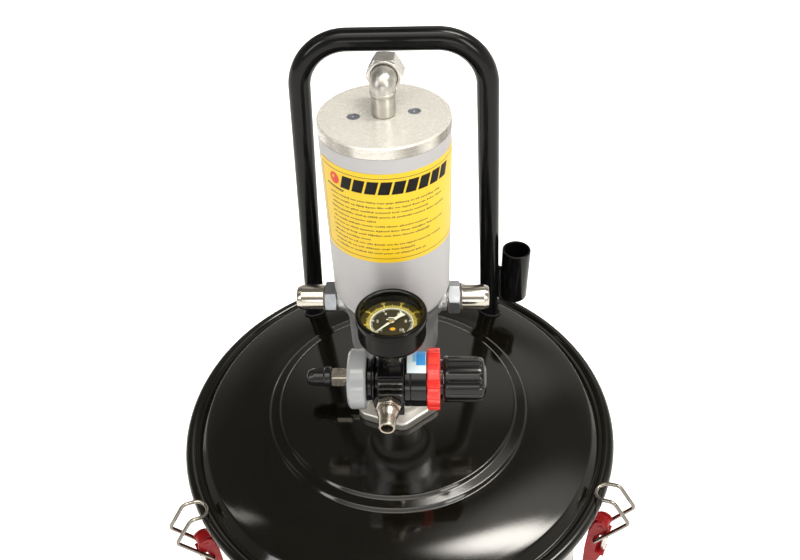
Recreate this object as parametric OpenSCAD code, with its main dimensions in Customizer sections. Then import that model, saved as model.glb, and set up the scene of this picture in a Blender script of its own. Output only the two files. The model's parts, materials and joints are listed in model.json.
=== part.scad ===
// Air-operated grease pump on a lidded drum: vertical air motor with a
// regulator and gauge, carry handle, three wire latches and four casters.
// +Z is up, the pump stands on the Z axis, z = 0 is the floor.

/* [Drum and lid] */
// Outer radius of the lid's rolled rim
lid_r = 168; // [160:1:176]
// Height of the lid's rim plane above the floor
rim_z = 478; // [450:1:520]
// Outer radius of the drum wall
drum_r = 154; // [150:0.5:156]
// Thickness of the drum's sheet
drum_t = 1.4; // [1:0.1:2]

/* [Air motor] */
// Outer radius of the air cylinder
cyl_r = 38.9; // [36:0.1:42]
// Wall of the air cylinder
cyl_wall = 3.9; // [3:0.1:5]
// Stroke of the air piston
stroke = 60; // [40:1:75]
// Radius of the pump's down tube
tube_r = 17; // [15:0.5:18]

/* [Regulator and gauge] */
// Distance of the regulator's axis in front of the pump axis
reg_y = 64; // [62:0.5:68]
// Radius of the pressure gauge's case
gauge_r = 21.5; // [20:0.5:24]
// Angle of the needle at zero pressure, counted from +X
needle_zero = -135; // [-150:1:-90]

/* [Handle] */
// Radius of the handle's tube
handle_r = 8; // [7:0.5:9]
// Distance of the handle behind the pump axis
handle_y = 107; // [104:0.5:110]
// Radius of the gun holder's tube
holder_r = 11.75; // [10:0.25:12]

/* [Latches] */
// Bearing of the first latch, clockwise from the front seen from below
latch_az = 63.5; // [50:0.5:70]
// Wire radius of a bail
wire_r = 1.4; // [1.2:0.1:1.6]

/* [Casters] */
// Distance of a caster's kingpin from the pump axis
caster_r = 138; // [134:1:142]
// Wheel radius
wheel_r = 25; // [20:1:26]

/* [Hidden] */
$fn = 96;
Z0 = rim_z;
plate_z = Z0 + 24.6;          // top of the lid's flat plateau
neck_z0 = plate_z + 7.4;      // top of the bung flange
base_z0 = Z0 + 81;            // underside of the cast air base
cyl_z0 = Z0 + 144.5;          // underside of the air cylinder
cyl_z1 = Z0 + 263.2;          // top of the cylinder tube
cap_z1 = Z0 + 270;            // top face of the top cap
reg_z = Z0 + 116;             // height of the regulator's axis
port_z = Z0 + 128.6;          // height of the two side ports
bleed_z = Z0 + 46;            // height of the bleed fitting
out_z = Z0 + 289;             // height of the outlet's axis
out_yaw = -4;                 // outlet leaves towards +Y, turned slightly to +X
gx = 3;                       // gauge axis in x
gz0 = Z0 + 154;               // underside of the gauge case
gz1 = Z0 + 175;               // face of the gauge
floor_z = 74;                 // underside of the drum's bottom
latch_angles = [latch_az - 120, latch_az, latch_az + 120];
piv_u = 171; piv_z = Z0 - 28; // lever pivot of a latch
bail_e = 18; bail_a = 6;
bp_u = piv_u - bail_e * sin(bail_a);
bp_z = piv_z - bail_e * cos(bail_a);
axle_off = 30;                // trail of a caster

// ---------- helpers ----------
// a solid bar of radius r between two points
module bar(a, b, r) {
    d = b - a; L = norm(d);
    translate(a) rotate([0, acos(d[2] / L), atan2(d[1], d[0])]) cylinder(r = r, h = L);
}
// a hexagonal prism along +Z, across flats af
module hexa(af, h) cylinder(r = af / 2 / cos(30), h = h, $fn = 6);
// children placed in the frame of latch i: +X outward, +Y tangential
module at_latch(i) rotate([0, 0, latch_angles[i] - 90]) children();
// children placed in the frame of caster i
module at_caster(i) rotate([0, 0, i * 90]) children();
// axis along +X
module along_x() rotate([0, 90, 0]) children();
// axis along -Y
module along_ny() rotate([90, 0, 0]) children();

// ---------- drum ----------
module drum_shell() color([0.03, 0.03, 0.03]) {
    h1 = Z0 - 11;
    rotate_extrude() {
        difference() {
            union() {
                polygon([[0, floor_z], [drum_r, floor_z], [drum_r, floor_z + 60], [drum_r + 2.4, floor_z + 66],
                    [drum_r, floor_z + 72], [drum_r, floor_z + 240], [drum_r + 2.4, floor_z + 246],
                    [drum_r, floor_z + 252], [drum_r, h1], [drum_r - drum_t, h1],
                    [drum_r - drum_t, floor_z + 1.6], [0, floor_z + 1.6]]);
                translate([drum_r + 2.5, h1]) circle(4.5, $fn = 48);
            }
            translate([drum_r + 2.5, h1]) circle(3.2, $fn = 48);
            translate([drum_r + 2.6, h1 - 6]) square([1.6, 4]);
        }
    }
}
module latch_bases() color([0.72, 0.05, 0.07]) for (i = [0:2]) at_latch(i) {
    difference() {
        union() {
            intersection() {
                difference() {
                    translate([0, 0, Z0 - 50]) cylinder(r = drum_r + 2, h = 33);
                    translate([0, 0, Z0 - 51]) cylinder(r = drum_r + 0.02, h = 35);
                }
                translate([140, -11, Z0 - 50]) cube([30, 22, 33]);
            }
            rotate([90, 0, 0]) translate([0, 0, -3.5]) linear_extrude(7) union() {
                polygon([[drum_r + 1, Z0 - 19], [drum_r + 8, Z0 - 20.5], [piv_u, piv_z + 6], [piv_u, piv_z - 6],
                    [drum_r + 1, piv_z - 6.4]]);
                translate([piv_u, piv_z]) circle(6, $fn = 48);
            }
        }
        translate([piv_u, 0, piv_z]) rotate([90, 0, 0]) translate([0, 0, -10]) cylinder(r = 2, h = 20);
        for (z = [Z0 - 22, Z0 - 46], y = [-7.5, 7.5])
            translate([140, y, z]) along_x() cylinder(r = 1.6, h = 30, $fn = 24);
    }
}
module latch_pins() color([0.75, 0.75, 0.77]) for (i = [0:2]) at_latch(i)
    translate([piv_u, 5.9, piv_z]) rotate([90, 0, 0]) cylinder(r = 2, h = 11.8);
module caster_lugs() color([0.03, 0.03, 0.03]) for (i = [0:3]) at_caster(i) difference() {
    union() {
        translate([108, -20, floor_z - 5]) cube([30, 40, 5]);
        translate([caster_r, 0, floor_z - 5]) cylinder(r = 20, h = 5);
    }
    translate([caster_r, 0, floor_z - 6]) cylinder(r = 5, h = 7);
}
module caster_kingpins() color([0.75, 0.75, 0.77]) for (i = [0:3]) at_caster(i) translate([caster_r, 0, 0]) {
    translate([0, 0, 55.9]) hexa(16, 6);
    translate([0, 0, 61.9]) cylinder(r = 5, h = floor_z - 61.9);
}
module caster_fork(i) color([0.7, 0.7, 0.72]) at_caster(i) translate([caster_r, 0, 0]) {
    difference() {
        union() {
            translate([0, 0, 62]) cylinder(r = 17, h = 3);
            translate([0, 0, 65]) cylinder(r = 12, h = 3.9);
            translate([0, -17, 62]) cube([26, 34, 3]);
            for (s = [-1, 1]) translate([0, s > 0 ? 17 : -14.5, 0]) rotate([90, 0, 0]) linear_extrude(2.5)
                union() {
                    polygon([[-6, 65], [26, 65], [axle_off + 8, 25], [axle_off - 8, 25], [-6, 52]]);
                    translate([axle_off, 25]) circle(8, $fn = 48);
                }
        }
        translate([0, 0, 50]) cylinder(r = 5.05, h = 30);
        translate([axle_off, 20, 25]) rotate([90, 0, 0]) cylinder(r = 4, h = 40);
    }
    translate([axle_off, 18.5, 25]) rotate([90, 0, 0]) cylinder(r = 4, h = 37);
}
module caster_wheel(i) color([0.12, 0.12, 0.13]) at_caster(i) translate([caster_r + axle_off, 0, 25])
    rotate([90, 0, 0]) rotate_extrude() polygon([[4.05, -14], [8, -14], [8, -8], [19, -8], [21, -10.5],
        [wheel_r - 1.5, -10.5], [wheel_r, -9], [wheel_r, 9], [wheel_r - 1.5, 10.5], [21, 10.5], [19, 8], [8, 8],
        [8, 14], [4.05, 14]]);

// ---------- lid ----------
// points of the lid's upper surface from the flat plateau to the groove
function dome(n, o) = [for (i = [0:n]) let (t = i / n, r = 100.8 + (150 - 100.8) * t)
    [r, Z0 + 19.8 - 10.8 * (0.35 * t + 0.65 * t * t) - o]];
module lid() color([0.03, 0.03, 0.03]) difference() {
    union() {
        rotate_extrude() polygon(concat([[0, plate_z], [90, plate_z], [92, plate_z - 0.5], [99.8, Z0 + 20.2]], dome(10, 0),
            [[153, Z0 + 6], [157, Z0 + 3], [159.2, Z0 + 3]],
            [[159.2, Z0 + 1.4], [156.6, Z0 + 1.4], [152, Z0 + 4.5]],
            [for (i = [10:-1:0]) dome(10, 1.6)[i]],
            [[91.4, plate_z - 2.2], [89.6, plate_z - 1.6], [0, plate_z - 1.6]]));
        rotate_extrude() difference() {
            translate([lid_r - 5, Z0]) circle(5, $fn = 64);
            translate([lid_r - 5, Z0]) circle(3.6, $fn = 64);
            translate([lid_r - 8.2, Z0 - 6]) square([1.6, 5]);
        }
    }
    translate([0, 0, plate_z - 10]) cylinder(r = 24, h = 20);
}
module lid_gasket() color([0.08, 0.08, 0.08]) rotate_extrude()
    polygon([[150.4, Z0 - 6.5], [156.9, Z0 - 6.5], [156.9, Z0 + 0.6], [156.2, Z0 + 1.2], [152.2, Z0 + 3.8],
        [150.4, Z0 + 4.2]]);
lean = 2.9;
h_t = 36 / tan((90 + lean) / 2);
h_top = Z0 + 268;
h_xc = 78 - tan(lean) * (h_top - Z0 - 13);
module carry_handle() color([0.03, 0.03, 0.03]) for (s = [0, 1]) mirror([s, 0, 0]) translate([0, handle_y, 0]) {
    cx = h_xc - h_t;
    bar([78 + tan(lean) * 3, 0, Z0 + 10], [cx + 36 * cos(lean), 0, h_top - 36 + 36 * sin(lean)], handle_r);
    translate([cx, 0, h_top - 36]) rotate([90, 0, 0]) rotate([0, 0, lean])
        rotate_extrude(angle = 90 - lean) translate([36, 0]) circle(handle_r, $fn = 96);
    bar([cx, 0, h_top], [0, 0, h_top], handle_r);
}
module gun_holder() color([0.03, 0.03, 0.03]) {
    hx = 97; hy = 106.5; z0 = Z0 + 33; z1 = Z0 + 85;
    difference() {
        union() {
            translate([hx, hy, z0 + 3]) cylinder(r = holder_r, h = z1 - z0 - 3);
            translate([hx, hy, z0]) cylinder(r1 = holder_r - 3, r2 = holder_r, h = 3);
            translate([82, hy - 3, z0 + 2]) cube([6, 6, 26]);
        }
        translate([hx, hy, z0 + 2]) cylinder(r = holder_r - 1.65, h = z1 - z0);
    }
}

// ---------- pump below the air motor ----------
module bung_flange() color([0.75, 0.75, 0.74]) difference() {
    union() {
        rotate([0, 0, -81]) cylinder(r = 36, h = 7.4, $fn = 6);
        translate([0, 0, -22]) cylinder(r = 23.8, h = 22);
    }
    translate([0, 0, -23]) cylinder(r = tube_r, h = 40);
}
module pump_neck() color([0.72, 0.72, 0.7]) difference() {
    rotate_extrude() polygon([[tube_r, neck_z0], [20, neck_z0], [21.5, neck_z0 + 1], [21.5, neck_z0 + 4.5], [19.5, neck_z0 + 6],
        [19.5, base_z0 - 6], [23, base_z0 - 3], [23, base_z0], [9, base_z0], [9, base_z0 - 8], [tube_r, base_z0 - 8]]);
    translate([-30, 0, bleed_z]) along_x() cylinder(r = 4, h = 20);
}
module pump_tube() color([0.65, 0.65, 0.66]) difference() {
    translate([0, 0, 100]) cylinder(r = tube_r, h = base_z0 - 8 - 100);
    translate([0, 0, 99]) cylinder(r = tube_r - 3.5, h = base_z0);
    translate([-30, 0, bleed_z]) along_x() cylinder(r = 3, h = 20);
}
module foot_valve() color([0.6, 0.6, 0.62]) difference() {
    union() {
        translate([0, 0, 84]) cylinder(r = tube_r, h = 16);
        translate([0, 0, 99]) cylinder(r = tube_r - 3.5, h = 13);
    }
    translate([0, 0, 92]) cylinder(r = 7, h = 21);
    translate([0, 0, 83]) cylinder(r = 4, h = 10);
}
module foot_ball() color([0.8, 0.8, 0.82]) translate([0, 0, 92 + sqrt(36 - 16) + 0.02]) sphere(r = 6, $fn = 48);
module bleed_fitting() color([0.62, 0.58, 0.5]) {
    translate([-36.9, 0, bleed_z]) along_x() cylinder(r = 5.6, h = 36.9 - 19.55);
    translate([-49.7, 0, bleed_z]) along_x() hexa(13.5, 12.8);
    translate([-56, 0, bleed_z]) along_x() cylinder(r = 4.5, h = 7);
    translate([-20.5, 0, bleed_z]) along_x() cylinder(r = 3.9, h = 2.6);
}
module bleed_cap() color([0.04, 0.04, 0.04]) translate([-49.8, 0, bleed_z]) rotate([0, -90, 0]) rotate_extrude()
    polygon([[4.55, 0], [7.6, 0], [8, 0.6], [8, 5], [7, 6.2], [6.8, 13], [5.4, 17], [3, 19], [0, 19.4], [0, 6.6], [4.55, 6.6]]);

// ---------- air motor ----------
module air_base() color([0.7, 0.7, 0.7]) difference() {
    union() {
        rotate_extrude() polygon([[9, base_z0], [24, base_z0], [26.5, base_z0 + 1], [29.5, base_z0 + 4], [31, base_z0 + 9],
            [31, base_z0 + 34], [32.5, base_z0 + 42], [34, base_z0 + 54], [36.8, base_z0 + 59],
            [36.8, cyl_z0], [34.9, cyl_z0], [34.9, cyl_z0 + 4], [13, cyl_z0 + 4], [13, cyl_z0 - 24], [9, cyl_z0 - 24]]);
        for (s = [0, 1]) mirror([s, 0, 0]) translate([20, 0, port_z]) along_x() {
            cylinder(r = 9.5, h = 17.7);
            cylinder(r = 12, h = 14);
        }
        translate([0, -24, reg_z]) along_ny() cylinder(r = 10, h = 9.5);
    }
    translate([0, 0, base_z0 - 1]) cylinder(r = 9, h = 60);
    translate([0, 0, cyl_z0 - 24]) cylinder(r = 13, h = 40);
    for (s = [0, 1]) mirror([s, 0, 0]) translate([24, 0, port_z]) along_x() cylinder(r = 5.5, h = 20);
    translate([0, -20, reg_z]) along_ny() cylinder(r = 5, h = 20);
}
module side_fittings() color([0.72, 0.69, 0.6]) for (s = [0, 1]) mirror([s, 0, 0]) difference() {
    union() {
        translate([25, 0, port_z]) along_x() cylinder(r = 5.4, h = 33);
        translate([37.8, 0, port_z]) along_x() hexa(20, 8.6);
    }
    translate([24, 0, port_z]) along_x() cylinder(r = 3, h = 30);
}
module side_caps() color([0.75, 0.73, 0.68]) for (s = [0, 1]) mirror([s, 0, 0]) translate([46.6, 0, port_z]) along_x()
    rotate_extrude() polygon([[5.5, 0], [8.2, 0], [8.7, 0.6], [8.7, 17], [6.6, 19.4], [0, 19.4], [0, 11.8], [5.5, 11.8]]);
module cylinder_tube() color([0.76, 0.76, 0.76]) difference() {
    translate([0, 0, cyl_z0]) cylinder(r = cyl_r, h = cyl_z1 - cyl_z0);
    translate([0, 0, cyl_z0 - 1]) cylinder(r = cyl_r - cyl_wall, h = 200);
}
module cylinder_label() color([0.95, 0.78, 0.05]) intersection() {
    difference() {
        translate([0, 0, Z0 + 191.8]) cylinder(r = cyl_r + 0.25, h = 62.4);
        translate([0, 0, Z0 + 190]) cylinder(r = cyl_r, h = 70);
    }
    intersection() {
        rotate([0, 0, 22]) translate([-60, -60, Z0 + 180]) cube([120, 60, 90]);
        rotate([0, 0, 2]) translate([-60, -60, Z0 + 180]) cube([120, 60, 90]);
    }
}
module top_cap() color([0.82, 0.82, 0.82]) difference() {
    union() {
        translate([0, 0, cyl_z1]) cylinder(r = cyl_r, h = 6);
        translate([0, 0, cyl_z1 + 6]) cylinder(r1 = cyl_r, r2 = cyl_r - 0.8, h = 0.8);
        translate([0, 0, cyl_z1 - 9]) cylinder(r = cyl_r - cyl_wall - 0.05, h = 10);
    }
    translate([0, 0, cyl_z1 - 10]) cylinder(r = 4, h = 30);
    translate([0, 0, cyl_z1 - 2]) cylinder(r = 6.5, h = 20);
    for (s = [-1, 1]) translate([s * 17.4, s * 2.9, cap_z1 - 3]) cylinder(r = 3.8, h = 10);
}
module cap_plugs() color([0.45, 0.46, 0.48]) for (s = [-1, 1]) translate([s * 17.4, s * 2.9, cap_z1 - 3])
    difference() {
        cylinder(r = 3.75, h = 2.7);
        translate([0, 0, 1.2]) hexa(3.5, 4);
    }
module outlet_elbow() color([0.72, 0.72, 0.73]) translate([0, 0, 0]) rotate([0, 0, out_yaw]) difference() {
    union() {
        translate([0, 0, cyl_z1 - 2]) cylinder(r = 6.4, h = 10);
        translate([0, 0, cap_z1]) cylinder(r = 7, h = out_z - cap_z1);
        translate([0, 0, out_z]) sphere(r = 7.6, $fn = 64);
        translate([0, 0, out_z]) rotate([-90, 0, 0]) cylinder(r = 7.5, h = 7);
        translate([0, 6, out_z]) rotate([-90, 0, 0]) cylinder(r = 6, h = 5);
        translate([0, 10.4, out_z]) rotate([-90, 0, 0]) cylinder(r1 = 6.9, r2 = 6, h = 2);
    }
    translate([0, 0, cyl_z1 - 3]) cylinder(r = 3.2, h = out_z - cyl_z1 + 3);
    translate([0, 0, out_z]) sphere(r = 3.2, $fn = 48);
    translate([0, 0, out_z]) rotate([-90, 0, 0]) cylinder(r = 3.2, h = 30);
}
module outlet_nut() color([0.72, 0.72, 0.73]) rotate([0, 0, out_yaw]) translate([0, 7.2, out_z]) rotate([-90, 0, 0]) difference() {
    intersection() {
        hexa(19, 13);
        union() { cylinder(r1 = 9.8, r2 = 10.8, h = 1); translate([0, 0, 1]) cylinder(r = 11.2, h = 11);
            translate([0, 0, 12]) cylinder(r1 = 10.8, r2 = 9.8, h = 1); }
    }
    translate([0, 0, -1]) cylinder(r = 6.05, h = 10);
    translate([0, 0, 3]) cylinder(r = 7.2, h = 5);
    translate([0, 0, 5.5]) cylinder(r = 7.5, h = 20);
}
module delivery_tube() color([0.7, 0.7, 0.72]) difference() {
    translate([0, 0, cyl_z0 - 22]) cylinder(r = 4, h = cyl_z1 - 2 - cyl_z0 + 22);
    translate([0, 0, cyl_z0 - 23]) cylinder(r = 2.4, h = 200);
}
module rod_gland() color([0.7, 0.55, 0.25]) translate([0, 0, cyl_z0 - 24]) difference() {
    cylinder(r = 13, h = 28);
    translate([0, 0, -1]) cylinder(r = 7.55, h = 32);
}
p_z = cyl_z0 + 5;             // piston's underside at the bottom of its stroke
module air_piston() color([0.78, 0.78, 0.8]) translate([0, 0, p_z]) difference() {
    cylinder(r = 34.6, h = 16);
    translate([0, 0, -1]) cylinder(r = 7.5, h = 20);
    translate([0, 0, 5]) difference() { cylinder(r = 36, h = 6); translate([0, 0, -1]) cylinder(r = 31, h = 8); }
}
module piston_seal() color([0.05, 0.05, 0.05]) translate([0, 0, p_z + 5.05]) difference() {
    cylinder(r = 34.95, h = 5.9);
    translate([0, 0, -1]) cylinder(r = 31.02, h = 8);
}
module plunger_rod() color([0.8, 0.8, 0.82]) difference() {
    union() {
        translate([0, 0, 126]) cylinder(r = 7.5, h = p_z + 16 - 126);
        translate([0, 0, p_z + 16]) hexa(22, 5);
        translate([0, 0, 120]) cylinder(r = 13.4, h = 18);
    }
    translate([0, 0, 119]) cylinder(r = 4.05, h = 800);
}
module follower_plate() color([0.68, 0.68, 0.7]) translate([0, 0, Z0 - 46]) rotate_extrude()
    polygon([[19, 0], [32, 0], [36, 4], [138, 4], [142, 0], [149, 0], [149, 2], [143, 2], [139, 6], [35, 6], [31, 2],
        [21, 2], [21, 14], [19, 14]]);
module follower_wiper() color([0.1, 0.1, 0.1]) translate([0, 0, Z0 - 46]) rotate_extrude()
    polygon([[149, -3], [150.5, -6], [152.5, -6], [152.5, 10], [150.5, 10], [149, 7]]);

// ---------- regulator, along X in front of the pump ----------
module reg_at() translate([0, -reg_y, reg_z]) children();
module reg_body() color([0.05, 0.05, 0.05]) reg_at() difference() {
    union() {
        translate([-10.7, 0, 0]) along_x() cylinder(r = 19, h = 20.5);
        translate([-10.7, -13, -13]) cube([20.5, 26, 32]);
        translate([-8, -20, -10]) cube([15, 40, 20]);
        for (x = [-8.6, -3.4, 1.8, 7]) translate([x - 0.8, -16, -19.4]) cube([1.6, 32, 38.9]);
        translate([0, -19, 0]) along_ny() cylinder(r = 9, h = 2);
        translate([gx, 0, 12]) cylinder(r = 6.7, h = 7.6);
        translate([-14, 0, 0]) along_x() cylinder(r = 14, h = 4);
    }
    translate([0, -8, 0]) along_ny() cylinder(r = 5, h = 20);
    translate([0, 28, 0]) along_ny() cylinder(r = 5, h = 20);
    translate([4, 0, 0]) along_x() cylinder(r = 13, h = 10);
    translate([-20, 0, 0]) along_x() cylinder(r = 4, h = 30);
    translate([gx, 0, 8]) cylinder(r = 4, h = 20);
}
module reg_bottom_cap() color([0.35, 0.36, 0.37]) reg_at() translate([-26, 0, 0]) along_x() rotate_extrude()
    polygon([[0, 0], [17.8, 0], [19.3, 1.5], [19.3, 10.8], [18, 12], [14.1, 12], [14.1, 8], [0, 8]]);
module reg_bonnet() color([0.05, 0.05, 0.05]) reg_at() translate([9.8, 0, 0]) along_x() rotate_extrude()
    polygon([[13, 0.9], [13, 0], [17.3, 0], [17.3, 14], [12.5, 14], [12.5, 24.2], [4.05, 24.2], [4.05, 20], [11, 20],
        [11, 0.9]]);
module reg_ring_nut() color([0.75, 0.06, 0.07]) reg_at() translate([23.8, 0, 0]) along_x() difference() {
    union() {
        cylinder(r = 18.4, h = 8.4);
        for (k = [0:11]) rotate([0, 0, k * 30]) translate([0, -2.6, 0]) cube([19.75, 5.2, 8.4]);
    }
    translate([0, 0, -1]) cylinder(r = 12.5, h = 12);
}
module reg_spindle() color([0.7, 0.7, 0.72]) reg_at() {
    translate([22, 0, 0]) along_x() cylinder(r = 4, h = 30);
    translate([22, 0, 0]) along_x() cylinder(r = 9, h = 3);
}
module reg_knob() color([0.05, 0.05, 0.05]) reg_at() translate([34.2, 0, 0]) along_x() difference() {
    union() {
        cylinder(r = 14.3, h = 24);
        translate([0, 0, 24]) cylinder(r1 = 14.3, r2 = 12.4, h = 2.8);
        for (k = [0:23]) rotate([0, 0, k * 15]) translate([13.5, -0.9, 0.5]) cube([1.3, 1.8, 22]);
    }
    translate([0, 0, -1]) cylinder(r = 11.8, h = 9);
    translate([0, 0, -1]) cylinder(r = 4.05, h = 23);
}
// sector of a spring's turn, seen along its axis
module coil(ro, ri, h, turns) linear_extrude(height = h, twist = -360 * turns, slices = turns * 16, $fn = 12)
    polygon(concat([for (i = [0:5]) let (a = i * 32) ro * [cos(a), sin(a)]], [for (i = [5:-1:0]) let (a = i * 32) ri * [cos(a), sin(a)]]));
module reg_spring() color([0.7, 0.7, 0.72]) reg_at() translate([11.4, 0, 0]) along_x() coil(9.4, 7.2, 10.4, 4);
module reg_diaphragm() color([0.25, 0.18, 0.1]) reg_at() translate([9, 0, 0]) along_x() rotate_extrude()
    polygon([[0, 0], [12.9, 0], [12.9, 1.6], [10.6, 1.6], [10.6, 2.2], [0, 2.2]]);
module inlet_nozzle() color([0.72, 0.69, 0.6]) reg_at() translate([0, -reg_y + reg_y, 0]) difference() {
    union() {
        translate([0, -14, 0]) along_ny() cylinder(r = 4.9, h = 8);
        translate([0, -21.1, 0]) along_ny() hexa(14.5, 4);
        translate([0, -25, 0]) along_ny() cylinder(r = 7, h = 2.4);
        translate([0, -27.4, 0]) along_ny() cylinder(r1 = 7, r2 = 5.3, h = 4.6);
        translate([0, -32, 0]) along_ny() cylinder(r = 5.3, h = 8);
    }
    translate([0, -13, 0]) along_ny() cylinder(r = 3.6, h = 40);
}
module air_nipple() color([0.72, 0.69, 0.6]) reg_at() difference() {
    union() {
        translate([0, reg_y - 23, 0]) along_ny() cylinder(r = 4.9, h = reg_y - 34);
        translate([0, reg_y - 33.6, 0]) along_ny() hexa(15, reg_y - 33.6 - 20.1);
    }
    translate([0, reg_y - 20, 0]) along_ny() cylinder(r = 3, h = reg_y);
}
module gauge_at() translate([gx, -reg_y, 0]) children();
module gauge_case() color([0.05, 0.05, 0.05]) gauge_at() difference() {
    union() {
        translate([0, 0, gz0]) cylinder(r1 = gauge_r - 1.5, r2 = gauge_r - 0.6, h = 2);
        translate([0, 0, gz0 + 2]) cylinder(r = gauge_r - 0.6, h = 14);
        translate([0, 0, gz0 + 16]) cylinder(r = gauge_r, h = 4.2);
        translate([0, 0, gz0 + 20.2]) cylinder(r1 = gauge_r, r2 = gauge_r - 0.8, h = 0.8);
        translate([0, 0, reg_z + 19.7]) hexa(12, gz0 - reg_z - 19.6);
        translate([0, 0, reg_z + 10]) cylinder(r = 3.9, h = 12);
    }
    translate([0, 0, gz0 + 3]) cylinder(r = gauge_r - 2.2, h = 16);
    translate([0, 0, gz0 + 3]) cylinder(r = gauge_r - 3, h = 30);
    translate([0, 0, reg_z]) cylinder(r = 1.2, h = 60);
}
module gauge_dial() color([0.05, 0.05, 0.05]) gauge_at() difference() {
    union() {
        translate([0, 0, gz0 + 11]) cylinder(r = gauge_r - 2.3, h = 0.8);
        translate([0, 0, gz0 + 3]) cylinder(r = 6, h = 8);
    }
    translate([0, 0, gz0]) cylinder(r = 1.3, h = 30);
}
module gauge_lens() color([0.9, 0.95, 1.0, 0.25]) gauge_at() translate([0, 0, gz0 + 17]) cylinder(r = gauge_r - 2.3, h = 2);
module gauge_needle() color([0.9, 0.9, 0.9]) gauge_at() {
    translate([0, 0, gz0 + 6]) cylinder(r = 1.2, h = 8, $fn = 32);
    translate([0, 0, gz0 + 12.6]) cylinder(r = 2.1, h = 1.6, $fn = 32);
    rotate([0, 0, needle_zero]) translate([0, 0, gz0 + 13]) linear_extrude(0.5)
        polygon([[-7, -1.3], [-7, 1.3], [0, 0.8], [15, 0.15], [15, -0.15], [0, -0.8]]);
}

// ---------- latches ----------
module latch_lever(i) color([0.72, 0.05, 0.07]) at_latch(i) {
    difference() {
        union() {
            for (y = [-3.9, 5.5]) translate([0, y, 0]) rotate([90, 0, 0]) linear_extrude(1.6) union() {
                translate([piv_u, piv_z]) circle(7, $fn = 48);
                polygon([[piv_u - 7, piv_z], [piv_u + 7, piv_z], [piv_u + 6, Z0 - 62], [piv_u + 2, Z0 - 78], [piv_u + 1, Z0 - 100],
                    [piv_u - 6, Z0 - 100], [piv_u - 8, Z0 - 62]]);
            }
            rotate([90, 0, 0]) translate([0, 0, -5.5]) linear_extrude(11)
                polygon([[piv_u - 8, Z0 - 38], [piv_u - 6.4, Z0 - 38], [piv_u - 6.4, Z0 - 62], [piv_u - 4.4, Z0 - 100],
                    [piv_u + 5, Z0 - 106], [piv_u + 5, Z0 - 107.6], [piv_u - 6, Z0 - 101.6], [piv_u - 8, Z0 - 62]]);
            translate([piv_u - 7.5, -5.4, Z0 - 37.4]) cube([14.5, 10.8, 1.8]);
            translate([piv_u - 7.5, -5.4, Z0 - 63]) cube([14.5, 10.8, 1.8]);
        }
        translate([piv_u + 1.4, -6, Z0 - 61.1]) cube([10, 12, 23.6]);
        translate([piv_u, 10, piv_z]) rotate([90, 0, 0]) cylinder(r = 2.05, h = 20);
        translate([bp_u, 10, bp_z]) rotate([90, 0, 0]) cylinder(r = wire_r + 0.05, h = 20);
    }
    translate([piv_u + 4.1, 0, Z0 - 61.2]) cylinder(r = 2.5, h = 23.8);
}
module latch_bail(i) color([0.78, 0.76, 0.7]) at_latch(i) {
    w = 7.5; kr = wire_r + 0.04;
    C = [175.5, 11.2]; D = [168.5, 8.9]; K = [189, -6];
    for (s = [-1, 1]) {
        bar([bp_u, s * 3.95, bp_z], [bp_u, s * w, bp_z], wire_r);
        translate([bp_u, s * w, bp_z]) sphere(r = kr, $fn = 48);
        bar([bp_u, s * w, bp_z], [K[0], s * w, Z0 + K[1]], wire_r);
        translate([K[0], s * w, Z0 + K[1]]) sphere(r = kr, $fn = 48);
        bar([K[0], s * w, Z0 + K[1]], [C[0], s * w, Z0 + C[1]], wire_r);
        translate([C[0], s * w, Z0 + C[1]]) sphere(r = kr, $fn = 48);
        bar([C[0], s * w, Z0 + C[1]], [D[0], s * w, Z0 + D[1]], wire_r);
        translate([D[0], s * w, Z0 + D[1]]) sphere(r = kr, $fn = 48);
    }
    translate([D[0], 0, Z0 + D[1]]) rotate([0, -atan2(C[1] - D[1], C[0] - D[0]), 0]) rotate([0, 0, 90])
        rotate_extrude(angle = 180) translate([w, 0]) circle(wire_r, $fn = 96);
}

drum_shell();
latch_bases();
latch_pins();
caster_lugs();
caster_kingpins();
lid_gasket();
lid();
carry_handle();
gun_holder();
translate([0, 0, plate_z]) bung_flange();
pump_neck();
bleed_fitting();
bleed_cap();
air_base();
side_fittings();
side_caps();
cylinder_tube();
cylinder_label();
top_cap();
cap_plugs();
outlet_elbow();
delivery_tube();
rod_gland();
pump_tube();
foot_valve();
reg_body();
reg_bottom_cap();
reg_bonnet();
reg_ring_nut();
inlet_nozzle();
air_nipple();
gauge_case();
gauge_dial();
gauge_lens();
outlet_nut();
air_piston();
piston_seal();
plunger_rod();
foot_ball();
follower_plate();
follower_wiper();
reg_knob();
reg_spindle();
reg_spring();
reg_diaphragm();
gauge_needle();
latch_lever(0);  // latch_lever_1
latch_lever(1);  // latch_lever_2
latch_lever(2);  // latch_lever_3
latch_bail(0);  // latch_bail_1
latch_bail(1);  // latch_bail_2
latch_bail(2);  // latch_bail_3
caster_fork(0);  // caster_fork_1
caster_fork(1);  // caster_fork_2
caster_fork(2);  // caster_fork_3
caster_fork(3);  // caster_fork_4
caster_wheel(0);  // caster_wheel_1
caster_wheel(1);  // caster_wheel_2
caster_wheel(2);  // caster_wheel_3
caster_wheel(3);  // caster_wheel_4
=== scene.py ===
"""Air-operated grease pump standing on a drum with a carry handle, latches and casters.

The drum and pump share the z axis and the floor is z = 0. The front, with the label and the
regulator, faces -Y and the right side faces +X. Shapes are drawn in millimetres; shader sizes,
lights and the camera are in metres.
"""
import json
import math
from functools import lru_cache

import bmesh
import bpy
import numpy as np
from mathutils import Matrix, Vector, noise as mnoise


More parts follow.
